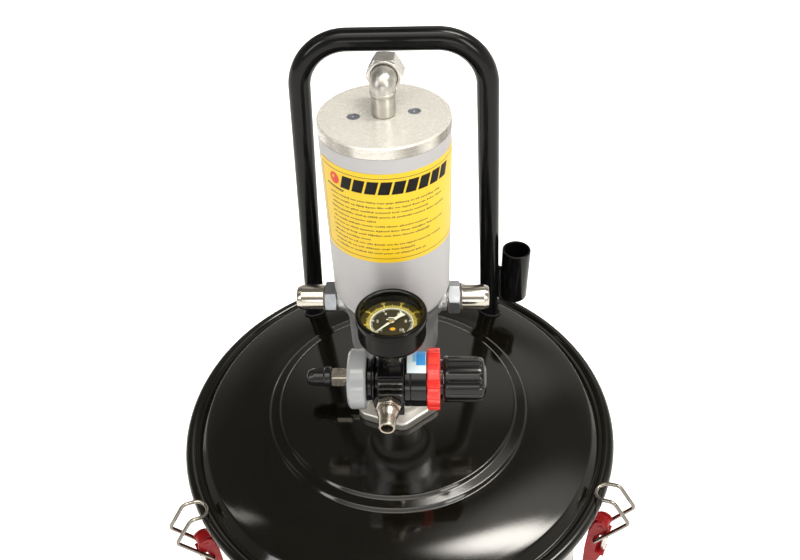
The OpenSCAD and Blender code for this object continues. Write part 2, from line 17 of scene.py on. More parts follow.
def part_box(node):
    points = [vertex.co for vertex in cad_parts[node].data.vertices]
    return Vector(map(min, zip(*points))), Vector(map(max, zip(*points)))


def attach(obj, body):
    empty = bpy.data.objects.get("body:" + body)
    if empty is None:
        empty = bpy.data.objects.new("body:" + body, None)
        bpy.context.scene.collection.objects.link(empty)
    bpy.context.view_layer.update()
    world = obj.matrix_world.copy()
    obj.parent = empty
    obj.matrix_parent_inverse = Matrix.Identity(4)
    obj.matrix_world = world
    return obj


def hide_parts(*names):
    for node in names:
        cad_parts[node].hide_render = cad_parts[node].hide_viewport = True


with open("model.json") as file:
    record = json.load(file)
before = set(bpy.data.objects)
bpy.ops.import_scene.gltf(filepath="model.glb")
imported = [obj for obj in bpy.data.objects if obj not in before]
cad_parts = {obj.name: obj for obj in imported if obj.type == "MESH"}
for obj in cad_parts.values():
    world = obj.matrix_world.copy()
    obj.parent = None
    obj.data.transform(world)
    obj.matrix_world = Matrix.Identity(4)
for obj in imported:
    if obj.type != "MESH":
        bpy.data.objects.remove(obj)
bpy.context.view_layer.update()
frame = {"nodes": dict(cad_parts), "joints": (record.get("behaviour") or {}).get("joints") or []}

MM = 0.001
ROOT = "pump_and_drum"
IDENTITY = Matrix.Identity(4)
SIDES = ((1, "right"), (-1, "left"))


# ---------------------------------------------------------------- sizes read from the frame, mm
def box_mm(node):
    lo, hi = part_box(node)
    return [v / MM for v in lo], [v / MM for v in hi]


def low(node, axis):
    return box_mm(node)[0][axis]


def high(node, axis):
    return box_mm(node)[1][axis]


def middle(node, axis):
    return (low(node, axis) + high(node, axis)) / 2


SLEEVE_R = high("cylinder_tube", 0)
SLEEVE_Z0 = low("cylinder_tube", 2)
SLEEVE_Z1 = high("cylinder_tube", 2)
BEAD_Z = SLEEVE_Z0 - 144.5          # centre of the rolled bead round the lid
LID_R = high("lid", 0)
PLATE_Z = high("lid", 2)
DRUM_TOP = high("drum_shell", 2)
DRUM_FLOOR = low("drum_shell", 2)
FLANGE_TOP = high("bung_flange", 2)
CAP_TOP = high("top_cap", 2)
PORT_Z = middle("side_caps", 2)
BLEED_Z = middle("bleed_cap", 2)
OUTLET_Z = middle("outlet_nut", 2)
REG_Y = middle("reg_ring_nut", 1)
REG_Z = middle("reg_ring_nut", 2)
GAUGE_X = middle("gauge_case", 0)
GAUGE_Z0 = BEAD_Z + 154
GAUGE_TOP = high("gauge_case", 2)
DIAL_Z = high("gauge_dial", 2)


# ---------------------------------------------------------------- shader node helpers
class Nodes:
    """A cleared node tree of a material or world, with short ways to add nodes."""

    def __init__(self, owner, output="ShaderNodeOutputMaterial"):
        owner.use_nodes = True
        self.tree = owner.node_tree
        self.tree.nodes.clear()
        self.output = self.add(output)

    def add(self, kind, **settings):
        node = self.tree.nodes.new(kind)
        for key, value in settings.items():
            setattr(node, key, value)
        return node

    def link(self, source, target):
        self.tree.links.new(source, target)

    def math(self, operation, a, b=None, clamp=False):
        node = self.add("ShaderNodeMath", operation=operation, use_clamp=clamp)
        for i, value in enumerate((a, b)):
            if value is None:
                continue
            if isinstance(value, (int, float)):
                node.inputs[i].default_value = value
            else:
                self.link(value, node.inputs[i])
        return node.outputs[0]

    def mix(self, factor, a, b):
        """Mixes two colours; each input is a value or a socket."""
        node = self.add("ShaderNodeMix", data_type="RGBA")
        for i, value in ((0, factor), (6, a), (7, b)):
            if isinstance(value, (int, float)):
                node.inputs[i].default_value = value
            elif isinstance(value, (tuple, list)):
                node.inputs[i].default_value = (*value[:3], 1)
            else:
                self.link(value, node.inputs[i])
        return node.outputs[2]

    def ramp(self, value, lo, hi, to_lo=0.0, to_hi=1.0):
        node = self.add("ShaderNodeMapRange", clamp=True)
        for i, limit in enumerate((lo, hi, to_lo, to_hi), 1):
            node.inputs[i].default_value = limit
        self.link(value, node.inputs[0])
        return node.outputs[0]

    def object_coords(self):
        return self.add("ShaderNodeTexCoord").outputs["Object"]

    def coords(self, scale=(1, 1, 1)):
        mapping = self.add("ShaderNodeMapping")
        mapping.inputs["Scale"].default_value = scale
        self.link(self.object_coords(), mapping.inputs[0])
        return mapping.outputs[0]

    def split(self, vector):
        node = self.add("ShaderNodeSeparateXYZ")
        self.link(vector, node.inputs[0])
        return node.outputs

    def noise(self, vector, scale, detail=3, rough=0.5):
        node = self.add("ShaderNodeTexNoise")
        node.inputs["Scale"].default_value = scale
        node.inputs["Detail"].default_value = detail
        node.inputs["Roughness"].default_value = rough
        self.link(vector, node.inputs["Vector"])
        return node.outputs["Fac"]

    def bump(self, height, strength, distance, normal):
        node = self.add("ShaderNodeBump")
        node.inputs["Strength"].default_value = min(1, strength)
        node.inputs["Distance"].default_value = distance
        self.link(height, node.inputs["Height"])
        if normal is not None:
            self.link(normal, node.inputs["Normal"])
        return node.outputs[0]


def edge_mask(t, bevel_normal):
    """1 on a convex or concave edge, 0 on a smooth face."""
    geometry = t.add("ShaderNodeNewGeometry")
    dot = t.add("ShaderNodeVectorMath", operation="DOT_PRODUCT")
    t.link(bevel_normal, dot.inputs[0])
    t.link(geometry.outputs["Normal"], dot.inputs[1])
    return t.ramp(dot.outputs["Value"], 0.995, 0.9)


def dust_mask(t, coords, amount):
    """Specks on faces that look upwards."""
    geometry = t.add("ShaderNodeNewGeometry")
    upward = t.ramp(t.split(geometry.outputs["Normal"])[2], 0.2, 1.0)
    specks = t.ramp(t.noise(coords, scale=2600, detail=2), 0.66, 0.8)
    return t.math("MULTIPLY", t.math("MULTIPLY", upward, specks), amount)


def brush_coords(t, kind, frequency):
    """Stretched coordinates: "turned" lines run round the z axis, "faced" ones form rings."""
    if kind == "turned":
        return t.coords((6, 6, frequency))
    x, y, z = t.split(t.object_coords())
    squares = t.math("ADD", t.math("POWER", x, 2.0), t.math("POWER", y, 2.0))
    combined = t.add("ShaderNodeCombineXYZ")
    t.link(t.math("MULTIPLY", t.math("SQRT", squares), frequency), combined.inputs[0])
    t.link(t.math("MULTIPLY", z, frequency), combined.inputs[2])
    return combined.outputs[0]


def rim_bands(t, colour, dark, scale):
    """Painted reflection: broad darker bands round turned side faces, none on flat tops."""
    geometry = t.add("ShaderNodeNewGeometry")
    normal_z = t.math("ABSOLUTE", t.split(geometry.outputs["True Normal"])[2])
    side = t.ramp(normal_z, 0.3, 0.8, to_lo=1.0, to_hi=0.0)
    flatten = t.add("ShaderNodeVectorMath", operation="MULTIPLY")
    flatten.inputs[1].default_value = (1, 1, 0)
    t.link(t.object_coords(), flatten.inputs[0])
    bands = t.noise(flatten.outputs[0], scale, detail=1.0)
    bands = t.ramp(bands, 0.42, 0.58, to_lo=0.25, to_hi=1.0)
    return t.mix(t.math("MULTIPLY", side, bands), colour, dark)


def make_finish(name, base, rough, rough_swing, colour_swing, patch_scale, bump, bump_scale,
                metallic, bevel, specular=0.5, coat=0.0, coat_rough=0.05, wear=None, dust=0.0,
                brush=None, tint=None, rim=None):
    """Patchy colour, smudged roughness, worn edges, dust, fine bump or brushed lines, and optional
    painted reflection bands that darken side faces.
    """
    material = bpy.data.materials.new(name)
    t = Nodes(material)
    shader = t.add("ShaderNodeBsdfPrincipled")
    t.link(shader.outputs[0], t.output.inputs[0])
    coords = t.coords()
    patches = t.noise(coords, patch_scale, detail=4, rough=0.6)
    smudges = t.noise(coords, patch_scale * 7, detail=3, rough=0.6)
    dark = tuple(max(0, c * (1 - colour_swing)) for c in base)
    light = tint or tuple(min(1, c * (1 + colour_swing) + colour_swing * 0.01) for c in base)
    colour = t.mix(t.ramp(patches, 0.3, 0.7), dark, light)
    swing = t.math("MULTIPLY", t.math("SUBTRACT", smudges, 0.5), rough_swing * 2)
    roughness = t.math("ADD", swing, rough)
    swing = t.math("MULTIPLY", t.math("SUBTRACT", patches, 0.5), rough_swing)
    roughness = t.math("ADD", roughness, swing)
    normal = None
    if bevel:
        rounded_edge = t.add("ShaderNodeBevel", samples=4)
        rounded_edge.inputs["Radius"].default_value = bevel
        normal = rounded_edge.outputs[0]
    if wear:
        amount, wear_colour = wear
        chips = t.ramp(t.noise(coords, scale=600, detail=4, rough=0.7), 0.42, 0.62)
        worn = t.math("MULTIPLY", t.math("MULTIPLY", edge_mask(t, normal), chips), amount)
        colour = t.mix(worn, colour, wear_colour)
        roughness = t.math("ADD", roughness, t.math("MULTIPLY", worn, 0.12))
    if dust:
        dusty = dust_mask(t, coords, dust)
        colour = t.mix(dusty, colour, (0.35, 0.33, 0.3))
        roughness = t.math("ADD", roughness, t.math("MULTIPLY", dusty, 0.3))
    if bump:
        height = t.math("MULTIPLY", t.noise(coords, bump_scale, detail=3, rough=0.55), 1.0)
        normal = t.bump(height, bump, 0.0002, normal)
    if brush:
        kind, amount, frequency = brush
        lines = t.noise(brush_coords(t, kind, frequency), 1.0, detail=5, rough=0.7)
        swing = t.math("MULTIPLY", t.math("SUBTRACT", lines, 0.5), amount)
        roughness = t.math("ADD", roughness, swing)
        normal = t.bump(lines, amount * 1.2, 0.0001, normal)
        shade = t.math("MULTIPLY", t.ramp(lines, 0.35, 0.7), 0.25)
        colour = t.mix(shade, colour, tuple(c * 0.8 for c in base))
    # painted reflection: turned side faces darkened in broad bands, flat tops left lighter
    if rim:
        colour = rim_bands(t, colour, **rim)
    t.link(colour, shader.inputs["Base Color"])
    t.link(t.math("MAXIMUM", roughness, 0.02), shader.inputs["Roughness"])
    shader.inputs["Metallic"].default_value = metallic
    shader.inputs["Coat Weight"].default_value = coat
    shader.inputs["Coat Roughness"].default_value = coat_rough
    shader.inputs["Specular IOR Level"].default_value = specular
    if normal is not None:
        t.link(normal, shader.inputs["Normal"])
    return material


def make_glass():
    material = bpy.data.materials.new("clear_window")
    t = Nodes(material)
    coords = t.coords()
    clear = t.add("ShaderNodeBsdfTransparent")
    clear.inputs[0].default_value = (0.97, 0.98, 0.95, 1)
    glossy = t.add("ShaderNodeBsdfGlossy")
    smudges = t.math("MULTIPLY", t.noise(coords, scale=300, detail=3, rough=0.6), 0.03)
    t.link(t.math("ADD", smudges, 0.015), glossy.inputs["Roughness"])
    fresnel = t.add("ShaderNodeFresnel")
    fresnel.inputs[0].default_value = 1.5
    haze = t.ramp(t.noise(coords, scale=120, detail=4, rough=0.6), 0.45, 0.8)
    haze = t.math("MULTIPLY", haze, 0.008)
    geometry = t.add("ShaderNodeNewGeometry")
    front = t.math("SUBTRACT", 1.0, geometry.outputs["Backfacing"])
    reflect = t.math("MULTIPLY", fresnel.outputs[0], 0.4)
    factor = t.math("MULTIPLY", t.math("ADD", reflect, haze, clamp=True), front)
    mixed = t.add("ShaderNodeMixShader")
    t.link(factor, mixed.inputs[0])
    t.link(clear.outputs[0], mixed.inputs[1])
    t.link(glossy.outputs[0], mixed.inputs[2])
    t.link(mixed.outputs[0], t.output.inputs[0])
    return material


# ---------------------------------------------------------------- finishes
# name, frame slot, base colour,
# roughness, roughness swing, colour swing, patch scale, bump, bump scale, metallic,
# bevel radius in metres, then the extras: wear is (amount, colour), brush is (kind, amount,
# frequency), tint replaces the lighter patch colour, and a last extra paints darker reflection
# bands on side faces as painted reflection
FINISHES = [
    ("black_enamel", "black_enamel", (0.0030, 0.0024, 0.0012),
     0.085, 0.03, 0.12, 14, 0.05, 420, 0, 0.0006,
     dict(specular=0.45, wear=(0.12, (0.04, 0.038, 0.035)), dust=0.12)),
    ("black_enamel_drum", "black_enamel", (0.0032, 0.0026, 0.0016),
     0.12, 0.05, 0.15, 9, 0.08, 300, 0, 0.0008,
     dict(specular=0.32, wear=(0.3, (0.06, 0.058, 0.055)))),
    ("black_tube_paint", "black_enamel", (0.003, 0.003, 0.0033),
     0.15, 0.05, 0.1, 30, 0.08, 500, 0, 0.0005,
     dict(specular=0.26, wear=(0.2, (0.05, 0.05, 0.05)))),
    ("black_plastic", "black_plastic", (0.0065, 0.0065, 0.0075),
     0.26, 0.06, 0.15, 60, 0.06, 1400, 0, 0.0003, dict(wear=(0.25, (0.07, 0.07, 0.075)))),
    ("black_gloss_plastic", "black_plastic", (0.004, 0.004, 0.0045),
     0.1, 0.04, 0.1, 60, 0.02, 900, 0, 0.0003, dict(specular=0.4)),
    ("moulded_black", "black_plastic", (0.0035, 0.0035, 0.004),
     0.15, 0.03, 0.1, 60, 0.02, 900, 0, 0, dict(specular=0.28)),
    ("moulded_black_edge", "black_plastic", (0.006, 0.006, 0.0065),
     0.16, 0.03, 0.1, 60, 0.02, 900, 0, 0.0003, dict(specular=1.0, coat=0.8)),
    ("bright_zinc", "nickel_plate", (0.34, 0.355, 0.375),
     0.33, 0.1, 0.15, 150, 0.10, 1300, 1, 0.0003, dict(wear=(0.4, (0.75, 0.74, 0.72)))),
    ("sticker_pale_blue", "black_plastic", (0.20, 0.45, 0.68),
     0.3, 0.05, 0.08, 200, 0.04, 900, 0, 0, {}),
    ("plated_casting", "zinc_plate", (0.50, 0.485, 0.455),
     0.36, 0.14, 0.16, 170, 0.4, 750, 1, 0.0003, dict(wear=(0.4, (0.78, 0.76, 0.72)))),
    ("gauge_case_black", "black_plastic", (0.003, 0.0025, 0.002),
     0.13, 0.04, 0.1, 60, 0.02, 900, 0, 0.0003, dict(specular=0.12)),
    ("nickel_dull", "nickel_plate", (0.43, 0.39, 0.33),
     0.25, 0.08, 0.1, 130, 0.06, 1100, 1, 0.0003, dict(wear=(0.4, (0.8, 0.76, 0.68)))),
    ("zinc_wire", "zinc_plate", (0.27, 0.25, 0.22),
     0.15, 0.1, 0.12, 150, 0.08, 1300, 1, 0, {}),
    ("zinc_dull", "zinc_plate", (0.56, 0.545, 0.52),
     0.31, 0.1, 0.12, 120, 0.12, 1300, 1, 0.0003, dict(wear=(0.3, (0.8, 0.78, 0.75)))),
    ("grey_plastic", "grey_plastic", (0.30, 0.315, 0.33),
     0.24, 0.05, 0.04, 45, 0.05, 1600, 0, 0.0005,
     dict(coat=0.5, coat_rough=0.08, wear=(0.1, (0.6, 0.6, 0.62)), tint=(0.35, 0.365, 0.38))),
    ("red_plastic", "red_plastic", (0.70, 0.022, 0.014),
     0.22, 0.05, 0.08, 60, 0.04, 1200, 0, 0.0004, dict(wear=(0.25, (0.9, 0.16, 0.16)), coat=0.25)),
    ("red_paint", "red_paint", (0.30, 0.007, 0.010),
     0.3, 0.08, 0.15, 70, 0.10, 500, 0, 0.0005,
     dict(specular=0.16, wear=(0.45, (0.5, 0.48, 0.47)), coat=0.06)),
    ("zinc_plate", "zinc_plate", (0.62, 0.605, 0.575),
     0.23, 0.09, 0.1, 110, 0.1, 1500, 1, 0.0003,
     dict(wear=(0.3, (0.85, 0.84, 0.82)), tint=(0.72, 0.7, 0.66))),
    ("nickel_plate", "nickel_plate", (0.62, 0.58, 0.51),
     0.17, 0.05, 0.06, 130, 0.03, 900, 1, 0.0003, dict(wear=(0.3, (0.9, 0.87, 0.8)))),
    ("cast_aluminium", "cast_aluminium", (0.50, 0.505, 0.515),
     0.34, 0.1, 0.1, 60, 0.28, 800, 0.95, 0.0005, dict(wear=(0.25, (0.8, 0.8, 0.8)))),
    ("turned_aluminium", "turned_aluminium", (0.48, 0.475, 0.49),
     0.45, 0.03, 0.03, 18, 0, 900, 0.35, 0.0004,
     dict(brush=("turned", 0.10, 1800), wear=(0.2, (0.85, 0.85, 0.85)))),
    ("faced_aluminium", None, (0.84, 0.82, 0.765),
     0.27, 0.04, 0.04, 22, 0, 900, 0.5, 0.0004,
     dict(brush=("faced", 0.10, 2200), wear=(0.2, (0.9, 0.9, 0.88)),
          # painted reflection: broad darker bands on the turned sides, so the flat tops look
          # lighter
          rim=dict(dark=(0.22, 0.20, 0.175), scale=34))),
    ("ground_steel", None, (0.52, 0.52, 0.54),
     0.25, 0.07, 0.06, 80, 0, 900, 1, 0.0003, dict(brush=("turned", 0.15, 900))),
    ("plug_steel", "steel", (0.33, 0.35, 0.42),
     0.35, 0.1, 0.1, 150, 0.1, 1500, 1, 0.0003, {}),
    ("satin_zinc_casting", "zinc_plate", (0.66, 0.635, 0.59),
     0.33, 0.06, 0.05, 45, 0.07, 500, 0.8, 0.0008, dict(wear=(0.3, (0.85, 0.84, 0.8)))),
    ("bronze", None, (0.55, 0.36, 0.15), 0.3, 0.08, 0.1, 40, 0.06, 900, 1, 0.0003, {}),
    ("black_rubber", None, (0.018, 0.018, 0.018),
     0.62, 0.08, 0.2, 90, 0.3, 1300, 0, 0.0005, dict(dust=0.2)),
    ("wheel_nylon", "wheel_grey", (0.045, 0.046, 0.05),
     0.45, 0.1, 0.2, 60, 0.25, 1100, 0, 0.0006, dict(wear=(0.5, (0.16, 0.16, 0.16)), dust=0.3)),
    ("reinforced_rubber", None, (0.12, 0.075, 0.04),
     0.7, 0.05, 0.2, 40, 0.4, 2500, 0, 0.0003, {}),
    ("label_film", "label_yellow", (0.80, 0.53, 0.012),
     0.36, 0.06, 0.03, 20, 0.03, 260, 0, 0, dict(specular=0.45, tint=(0.82, 0.56, 0.016))),
    ("label_ink", "label_yellow", (0.008, 0.007, 0.006),
     0.42, 0.05, 0.2, 300, 0.05, 900, 0, 0, dict(specular=0.12)),
    ("label_fine_ink", "label_yellow", (0.10, 0.07, 0.012),
     0.42, 0.05, 0.25, 500, 0.04, 900, 0, 0, {}),
    ("label_red_ink", "label_yellow", (0.68, 0.035, 0.012),
     0.4, 0.05, 0.06, 200, 0.04, 900, 0, 0, {}),
    ("sticker_blue", "black_plastic", (0.02, 0.24, 0.62),
     0.3, 0.05, 0.08, 200, 0.04, 900, 0, 0, {}),
    ("sticker_white", "black_plastic", (0.62, 0.72, 0.76),
     0.3, 0.05, 0.04, 200, 0.04, 900, 0, 0, {}),
    ("dial_card", "dial_black", (0.010, 0.008, 0.005),
     0.5, 0.05, 0.2, 200, 0.03, 1500, 0, 0, {}),
    ("dial_band", "dial_black", (0.04, 0.029, 0.003),
     0.5, 0.05, 0.15, 200, 0.03, 1500, 0, 0, {}),
    ("dial_orange", "dial_black", (0.80, 0.36, 0.03),
     0.5, 0.04, 0.05, 400, 0.03, 1500, 0, 0, {}),
    ("dial_yellow", "dial_black", (0.95, 0.74, 0.12),
     0.5, 0.04, 0.05, 400, 0.03, 1500, 0, 0, {}),
    ("dial_white", "dial_black", (0.95, 0.94, 0.88),
     0.5, 0.04, 0.05, 400, 0.03, 1500, 0, 0, {}),
    ("needle_paint", "needle_white", (0.85, 0.84, 0.80),
     0.3, 0.04, 0.04, 400, 0.03, 1500, 0, 0.0001, {}),
]
MATERIALS, SLOTS = {}, {}
for name, slot, *values, extras in FINISHES:
    MATERIALS[name] = make_finish(name, *values, **extras)
    SLOTS[name] = slot
MATERIALS["clear_window"] = make_glass()
SLOTS["clear_window"] = "lens_clear"


# ---------------------------------------------------------------- objects from meshes
def add_object(name, mesh, finish, body=ROOT, slot=None, replaces=None):
    """Links a mesh as an object with the finish, hangs it under its body and hides the part it
    replaces; the slot argument is not used.
    """
    obj = bpy.data.objects.new(name, mesh)
    bpy.context.scene.collection.objects.link(obj)
    mesh.materials.append(MATERIALS[finish])
    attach(obj, body)
    if replaces:
        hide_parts(replaces)


def sharpen(mesh, crease):
    """Smooth shading, with edges bent by more than crease degrees kept sharp."""
    bm = bmesh.new()
    bm.from_mesh(mesh)
    bmesh.ops.recalc_face_normals(bm, faces=bm.faces)
    for face in bm.faces:
        face.smooth = True
    for edge in bm.edges:
        folded = len(edge.link_faces) == 2 and edge.calc_face_angle(0) > math.radians(crease)
        edge.smooth = not folded
    bm.to_mesh(mesh)
    bm.free()


def make(name, data, finish, placing=IDENTITY, crease=34, **registration):
    verts, faces = data
    mesh = bpy.data.meshes.new(name)
    mesh.from_pydata([tuple((placing @ Vector(v)) * MM) for v in verts], [], faces)
    mesh.validate()
    sharpen(mesh, crease)
    add_object(name, mesh, finish, **registration)


def fused(name, parts, finish, voxel, smooth, placing=IDENTITY, **registration):
    """One moulded or cast solid: the parts merge on a voxel grid, then the edges are eased."""
    verts, faces = [], []
    for part_verts, part_faces in parts:
        first = len(verts)
        verts += [tuple((placing @ Vector(p)) * MM) for p in part_verts]
        faces += [[i + first for i in face] for face in part_faces]
    mesh = bpy.data.meshes.new(name)
    mesh.from_pydata(verts, [], faces)
    bm = bmesh.new()
    bm.from_mesh(mesh)
    bmesh.ops.recalc_face_normals(bm, faces=bm.faces)
    bm.to_mesh(mesh)
    bm.free()
    rough = bpy.data.objects.new(name, mesh)
    bpy.context.scene.collection.objects.link(rough)
    remesh = rough.modifiers.new("vox", "REMESH")
    remesh.mode = "VOXEL"
    remesh.voxel_size = voxel * MM
    ease = rough.modifiers.new("ease", "SMOOTH")
    ease.factor = 0.5
    ease.iterations = smooth
    depsgraph = bpy.context.evaluated_depsgraph_get()
    depsgraph.update()
    merged = bpy.data.meshes.new_from_object(rough.evaluated_get(depsgraph))
    merged.name = name
    bpy.data.objects.remove(rough)
    for face in merged.polygons:
        face.use_smooth = True
    add_object(name, merged, finish, **registration)


# ---------------------------------------------------------------- outlines and placings
TURNS = {"x": (90, "Y"), "-x": (-90, "Y"), "y": (-90, "X"), "-y": (90, "X")}


def shift(x, y, z=0):
    return Matrix.Translation((x, y, z))


def along(direction, at=(0, 0, 0), yaw=0):
    """Placing that turns local z to the given direction."""
    degrees, axis = TURNS[direction]
    return (Matrix.Translation(at) @ Matrix.Rotation(math.radians(yaw), 4, "Z")
            @ Matrix.Rotation(math.radians(degrees), 4, axis))


def arc(cx, cy, r, a0, a1, n):
    angles = [math.radians(a0 + (a1 - a0) * i / n) for i in range(n + 1)]
    return [(cx + r * math.cos(a), cy + r * math.sin(a)) for a in angles]


def fillet(points, radii, closed=False, steps=5):
    """Rounds the corners of a 2D or 3D polyline; radii is one radius or one per point."""
    rounded, count = [], len(points)
    points = [Vector(p) for p in points]
    for i, corner in enumerate(points):
        radius = radii[i] if isinstance(radii, (list, tuple)) else radii
        if radius <= 0 or (not closed and i in (0, count - 1)):
            rounded.append(tuple(corner))
            continue
        back, ahead = points[(i - 1) % count] - corner, points[(i + 1) % count] - corner
        back_length, ahead_length = back.length, ahead.length
        if back_length < 1e-9 or ahead_length < 1e-9:
            rounded.append(tuple(corner))
            continue
        back, ahead = back / back_length, ahead / ahead_length
        angle = back.angle(ahead)
        if angle > math.pi - 0.02 or angle < 0.02:
            rounded.append(tuple(corner))
            continue
        cut = min(radius / math.tan(angle / 2), back_length * 0.48, ahead_length * 0.48)
        fitted = cut * math.tan(angle / 2)
        centre = corner + (back + ahead).normalized() * (fitted / math.sin(angle / 2))
        start, end = corner + back * cut - centre, corner + ahead * cut - centre
        sweep = start.angle(end)
        pieces = max(2, int(math.ceil(steps * sweep / 1.57)))
        for j in range(pieces + 1):
            t = j / pieces
            spoke = start * math.sin((1 - t) * sweep) + end * math.sin(t * sweep)
            rounded.append(tuple(centre + spoke / math.sin(sweep)))
    return rounded


def polar(outline):
    """Radius of a star-shaped outline as a function of the angle in degrees."""
    points = [Vector(p[:2]) for p in outline]

    @lru_cache(None)
    def radius(angle):
        ray = Vector((math.cos(math.radians(angle)), math.sin(math.radians(angle))))
        best = 0
        for p, q in zip(points, points[1:] + points[:1]):
            edge = q - p
            cross = ray.x * edge.y - ray.y * edge.x
            if abs(cross) < 1e-12:
                continue
            distance = (p.x * edge.y - p.y * edge.x) / cross
            share = (p.x * ray.y - p.y * ray.x) / cross
            if distance > 0 and -1e-9 <= share <= 1 + 1e-9:
                best = max(best, distance)
        return best
    return radius


def inset(radius, amount):
    return lambda a: radius(a) - amount


def capped(radius, limit):
    return lambda a: min(radius(a), limit)


def hexagon(across_flats, turn, corner):
    """Radius function of a hexagon with rounded corners."""
    r = across_flats / 2 / math.cos(math.pi / 6)
    angles = [math.radians(turn + i * 60) for i in range(6)]
    points = [(r * math.cos(a), r * math.sin(a)) for a in angles]
    return polar(fillet(points, corner, closed=True, steps=6))


def hex_rows(across_flats, z0, z1, turn=0):
    """Profile rows of a hexagon nut, chamfered at both ends."""
    radius = hexagon(across_flats, turn, 0.5)
    flat, corner = across_flats / 2, across_flats / 2 / math.cos(math.pi / 6)
    face = flat * 0.975
    height = (corner - flat) * 0.58
    lower = [(capped(radius, face + (corner - face) * i / 6), z0 + height * i / 6)
             for i in range(7)]
    upper = [(capped(radius, corner - (corner - face) * i / 6), z1 - height + height * i / 6)
             for i in range(7)]
    return lower + upper


# ---------------------------------------------------------------- solids as (verts, faces)
def lathe_data(profile, seg, closed=False):
    """Turns (radius, z) rows round z; a radius may be a function of the angle in degrees."""
    verts, rows = [], []
    for radius, z in profile:
        if not callable(radius) and abs(radius) < 1e-6:
            rows.append([len(verts)] * seg)
            verts.append((0, 0, z))
            continue
        rows.append(list(range(len(verts), len(verts) + seg)))
        for i in range(seg):
            a = 360 * i / seg
            r = radius(a) if callable(radius) else radius
            verts.append((r * math.cos(math.radians(a)), r * math.sin(math.radians(a)), z))
    faces = []
    for lower, upper in list(zip(rows, rows[1:])) + ([(rows[-1], rows[0])] if closed else []):
        for i in range(seg):
            j = (i + 1) % seg
            quad = [lower[i], lower[j], upper[j], upper[i]]
            quad = [v for k, v in enumerate(quad) if v != quad[k - 1]]
            if len(set(quad)) >= 3:
                faces.append(quad)
    return verts, faces


def lathe(name, profile, finish, seg=160, closed=False, **options):
    make(name, lathe_data(profile, seg, closed), finish, **options)


def sweep_data(path, r, seg=24, closed=False, radius_at=None):
    """A round tube along a path; radius_at gives the radius at a share of the path."""
    path = [Vector(p) for p in path]
    n = len(path)
    tangents = []
    for i in range(n):
        before = path[(i - 1) % n] if (closed or i > 0) else path[i]
        after = path[(i + 1) % n] if (closed or i < n - 1) else path[i]
        tangents.append((after - before).normalized())
    up = Vector((0, 0, 1)) if abs(tangents[0].z) < 0.9 else Vector((1, 0, 0))
    normal = (up - tangents[0] * up.dot(tangents[0])).normalized()
    verts = []
    for i, tangent in enumerate(tangents):
        if i:
            axis = tangents[i - 1].cross(tangent)
            if axis.length > 1e-9:
                turn = tangents[i - 1].angle(tangent)
                normal = Matrix.Rotation(turn, 3, axis.normalized()) @ normal
            normal = (normal - tangent * normal.dot(tangent)).normalized()
        side = tangent.cross(normal)
        radius = radius_at(i / (n - 1)) if radius_at else r
        for k in range(seg):
            a = 2 * math.pi * k / seg
            verts.append(tuple(path[i] + (normal * math.cos(a) + side * math.sin(a)) * radius))
    rows = [list(range(i * seg, (i + 1) * seg)) for i in range(n)]
    faces = []
    for lower, upper in list(zip(rows, rows[1:])) + ([(rows[-1], rows[0])] if closed else []):
        for k in range(seg):
            j = (k + 1) % seg
            faces.append([lower[k], lower[j], upper[j], upper[k]])
    if not closed:
        # each end closes on a slightly raised point
        first, last = len(verts), len(verts) + 1
        verts += [tuple(path[0] - tangents[0] * r * 0.18),
                  tuple(path[-1] + tangents[-1] * r * 0.18)]
        faces += [[rows[0][(k + 1) % seg], rows[0][k], first] for k in range(seg)]
        faces += [[rows[-1][k], rows[-1][(k + 1) % seg], last] for k in range(seg)]
    return verts, faces


def box_data(lo, hi):
    x0, y0, z0 = lo
    x1, y1, z1 = hi
    verts = [(x, y, z) for z in (z0, z1) for x, y in ((x0, y0), (x1, y0), (x1, y1), (x0, y1))]
    faces = [[0, 3, 2, 1], [4, 5, 6, 7], [0, 1, 5, 4], [1, 2, 6, 5], [2, 3, 7, 6], [3, 0, 4, 7]]
    return verts, faces


def prism_data(outline, y0, y1):
    """An outline in (x, z), extruded along y."""
    n = len(outline)
    verts = [(p[0], y, p[1]) for y in (y0, y1) for p in outline]
    faces = [list(range(n)), list(range(2 * n - 1, n - 1, -1))]
    faces += [[i, i + n, (i + 1) % n + n, (i + 1) % n] for i in range(n)]
    return verts, faces


def rod_data(r, z0, z1, placing, seg=64, end_r=None):
    profile = [(0, z0), (r, z0), (r if end_r is None else end_r, z1), (0, z1)]
    verts, faces = lathe_data(profile, seg)
    return [tuple(placing @ Vector(v)) for v in verts], faces


def slab_data(ni, nj, point):
    """A thin closed sheet; point(side, i, j) places the grids of sides 0 and 1."""
    verts = [point(k, i, j) for k in (0, 1) for i in range(ni + 1) for j in range(nj + 1)]

    def at(k, i, j):
        return (k * (ni + 1) + i) * (nj + 1) + j

    faces = []
    for i in range(ni):
        for j in range(nj):
            faces.append([at(1, i, j), at(1, i + 1, j), at(1, i + 1, j + 1), at(1, i, j + 1)])
            faces.append([at(0, i, j), at(0, i, j + 1), at(0, i + 1, j + 1), at(0, i + 1, j)])
        faces.append([at(0, i, 0), at(0, i + 1, 0), at(1, i + 1, 0), at(1, i, 0)])
        faces.append([at(0, i, nj), at(1, i, nj), at(1, i + 1, nj), at(0, i + 1, nj)])
    for j in range(nj):
        faces.append([at(0, 0, j), at(1, 0, j), at(1, 0, j + 1), at(0, 0, j + 1)])
        faces.append([at(0, ni, j), at(0, ni, j + 1), at(1, ni, j + 1), at(1, ni, j)])
    return verts, faces


# ---------------------------------------------------------------- lid and drum
DRUM_R = 154.0


def dome_z(r):
    """Height of the lid's sloping skirt over the bead centre."""
    t = (r - 100.8) / (150 - 100.8)
    return 19.8 - 10.8 * (0.35 * t + 0.65 * t * t)


def from_bead(points):
    return [(r, z + BEAD_Z) for r, z in points]


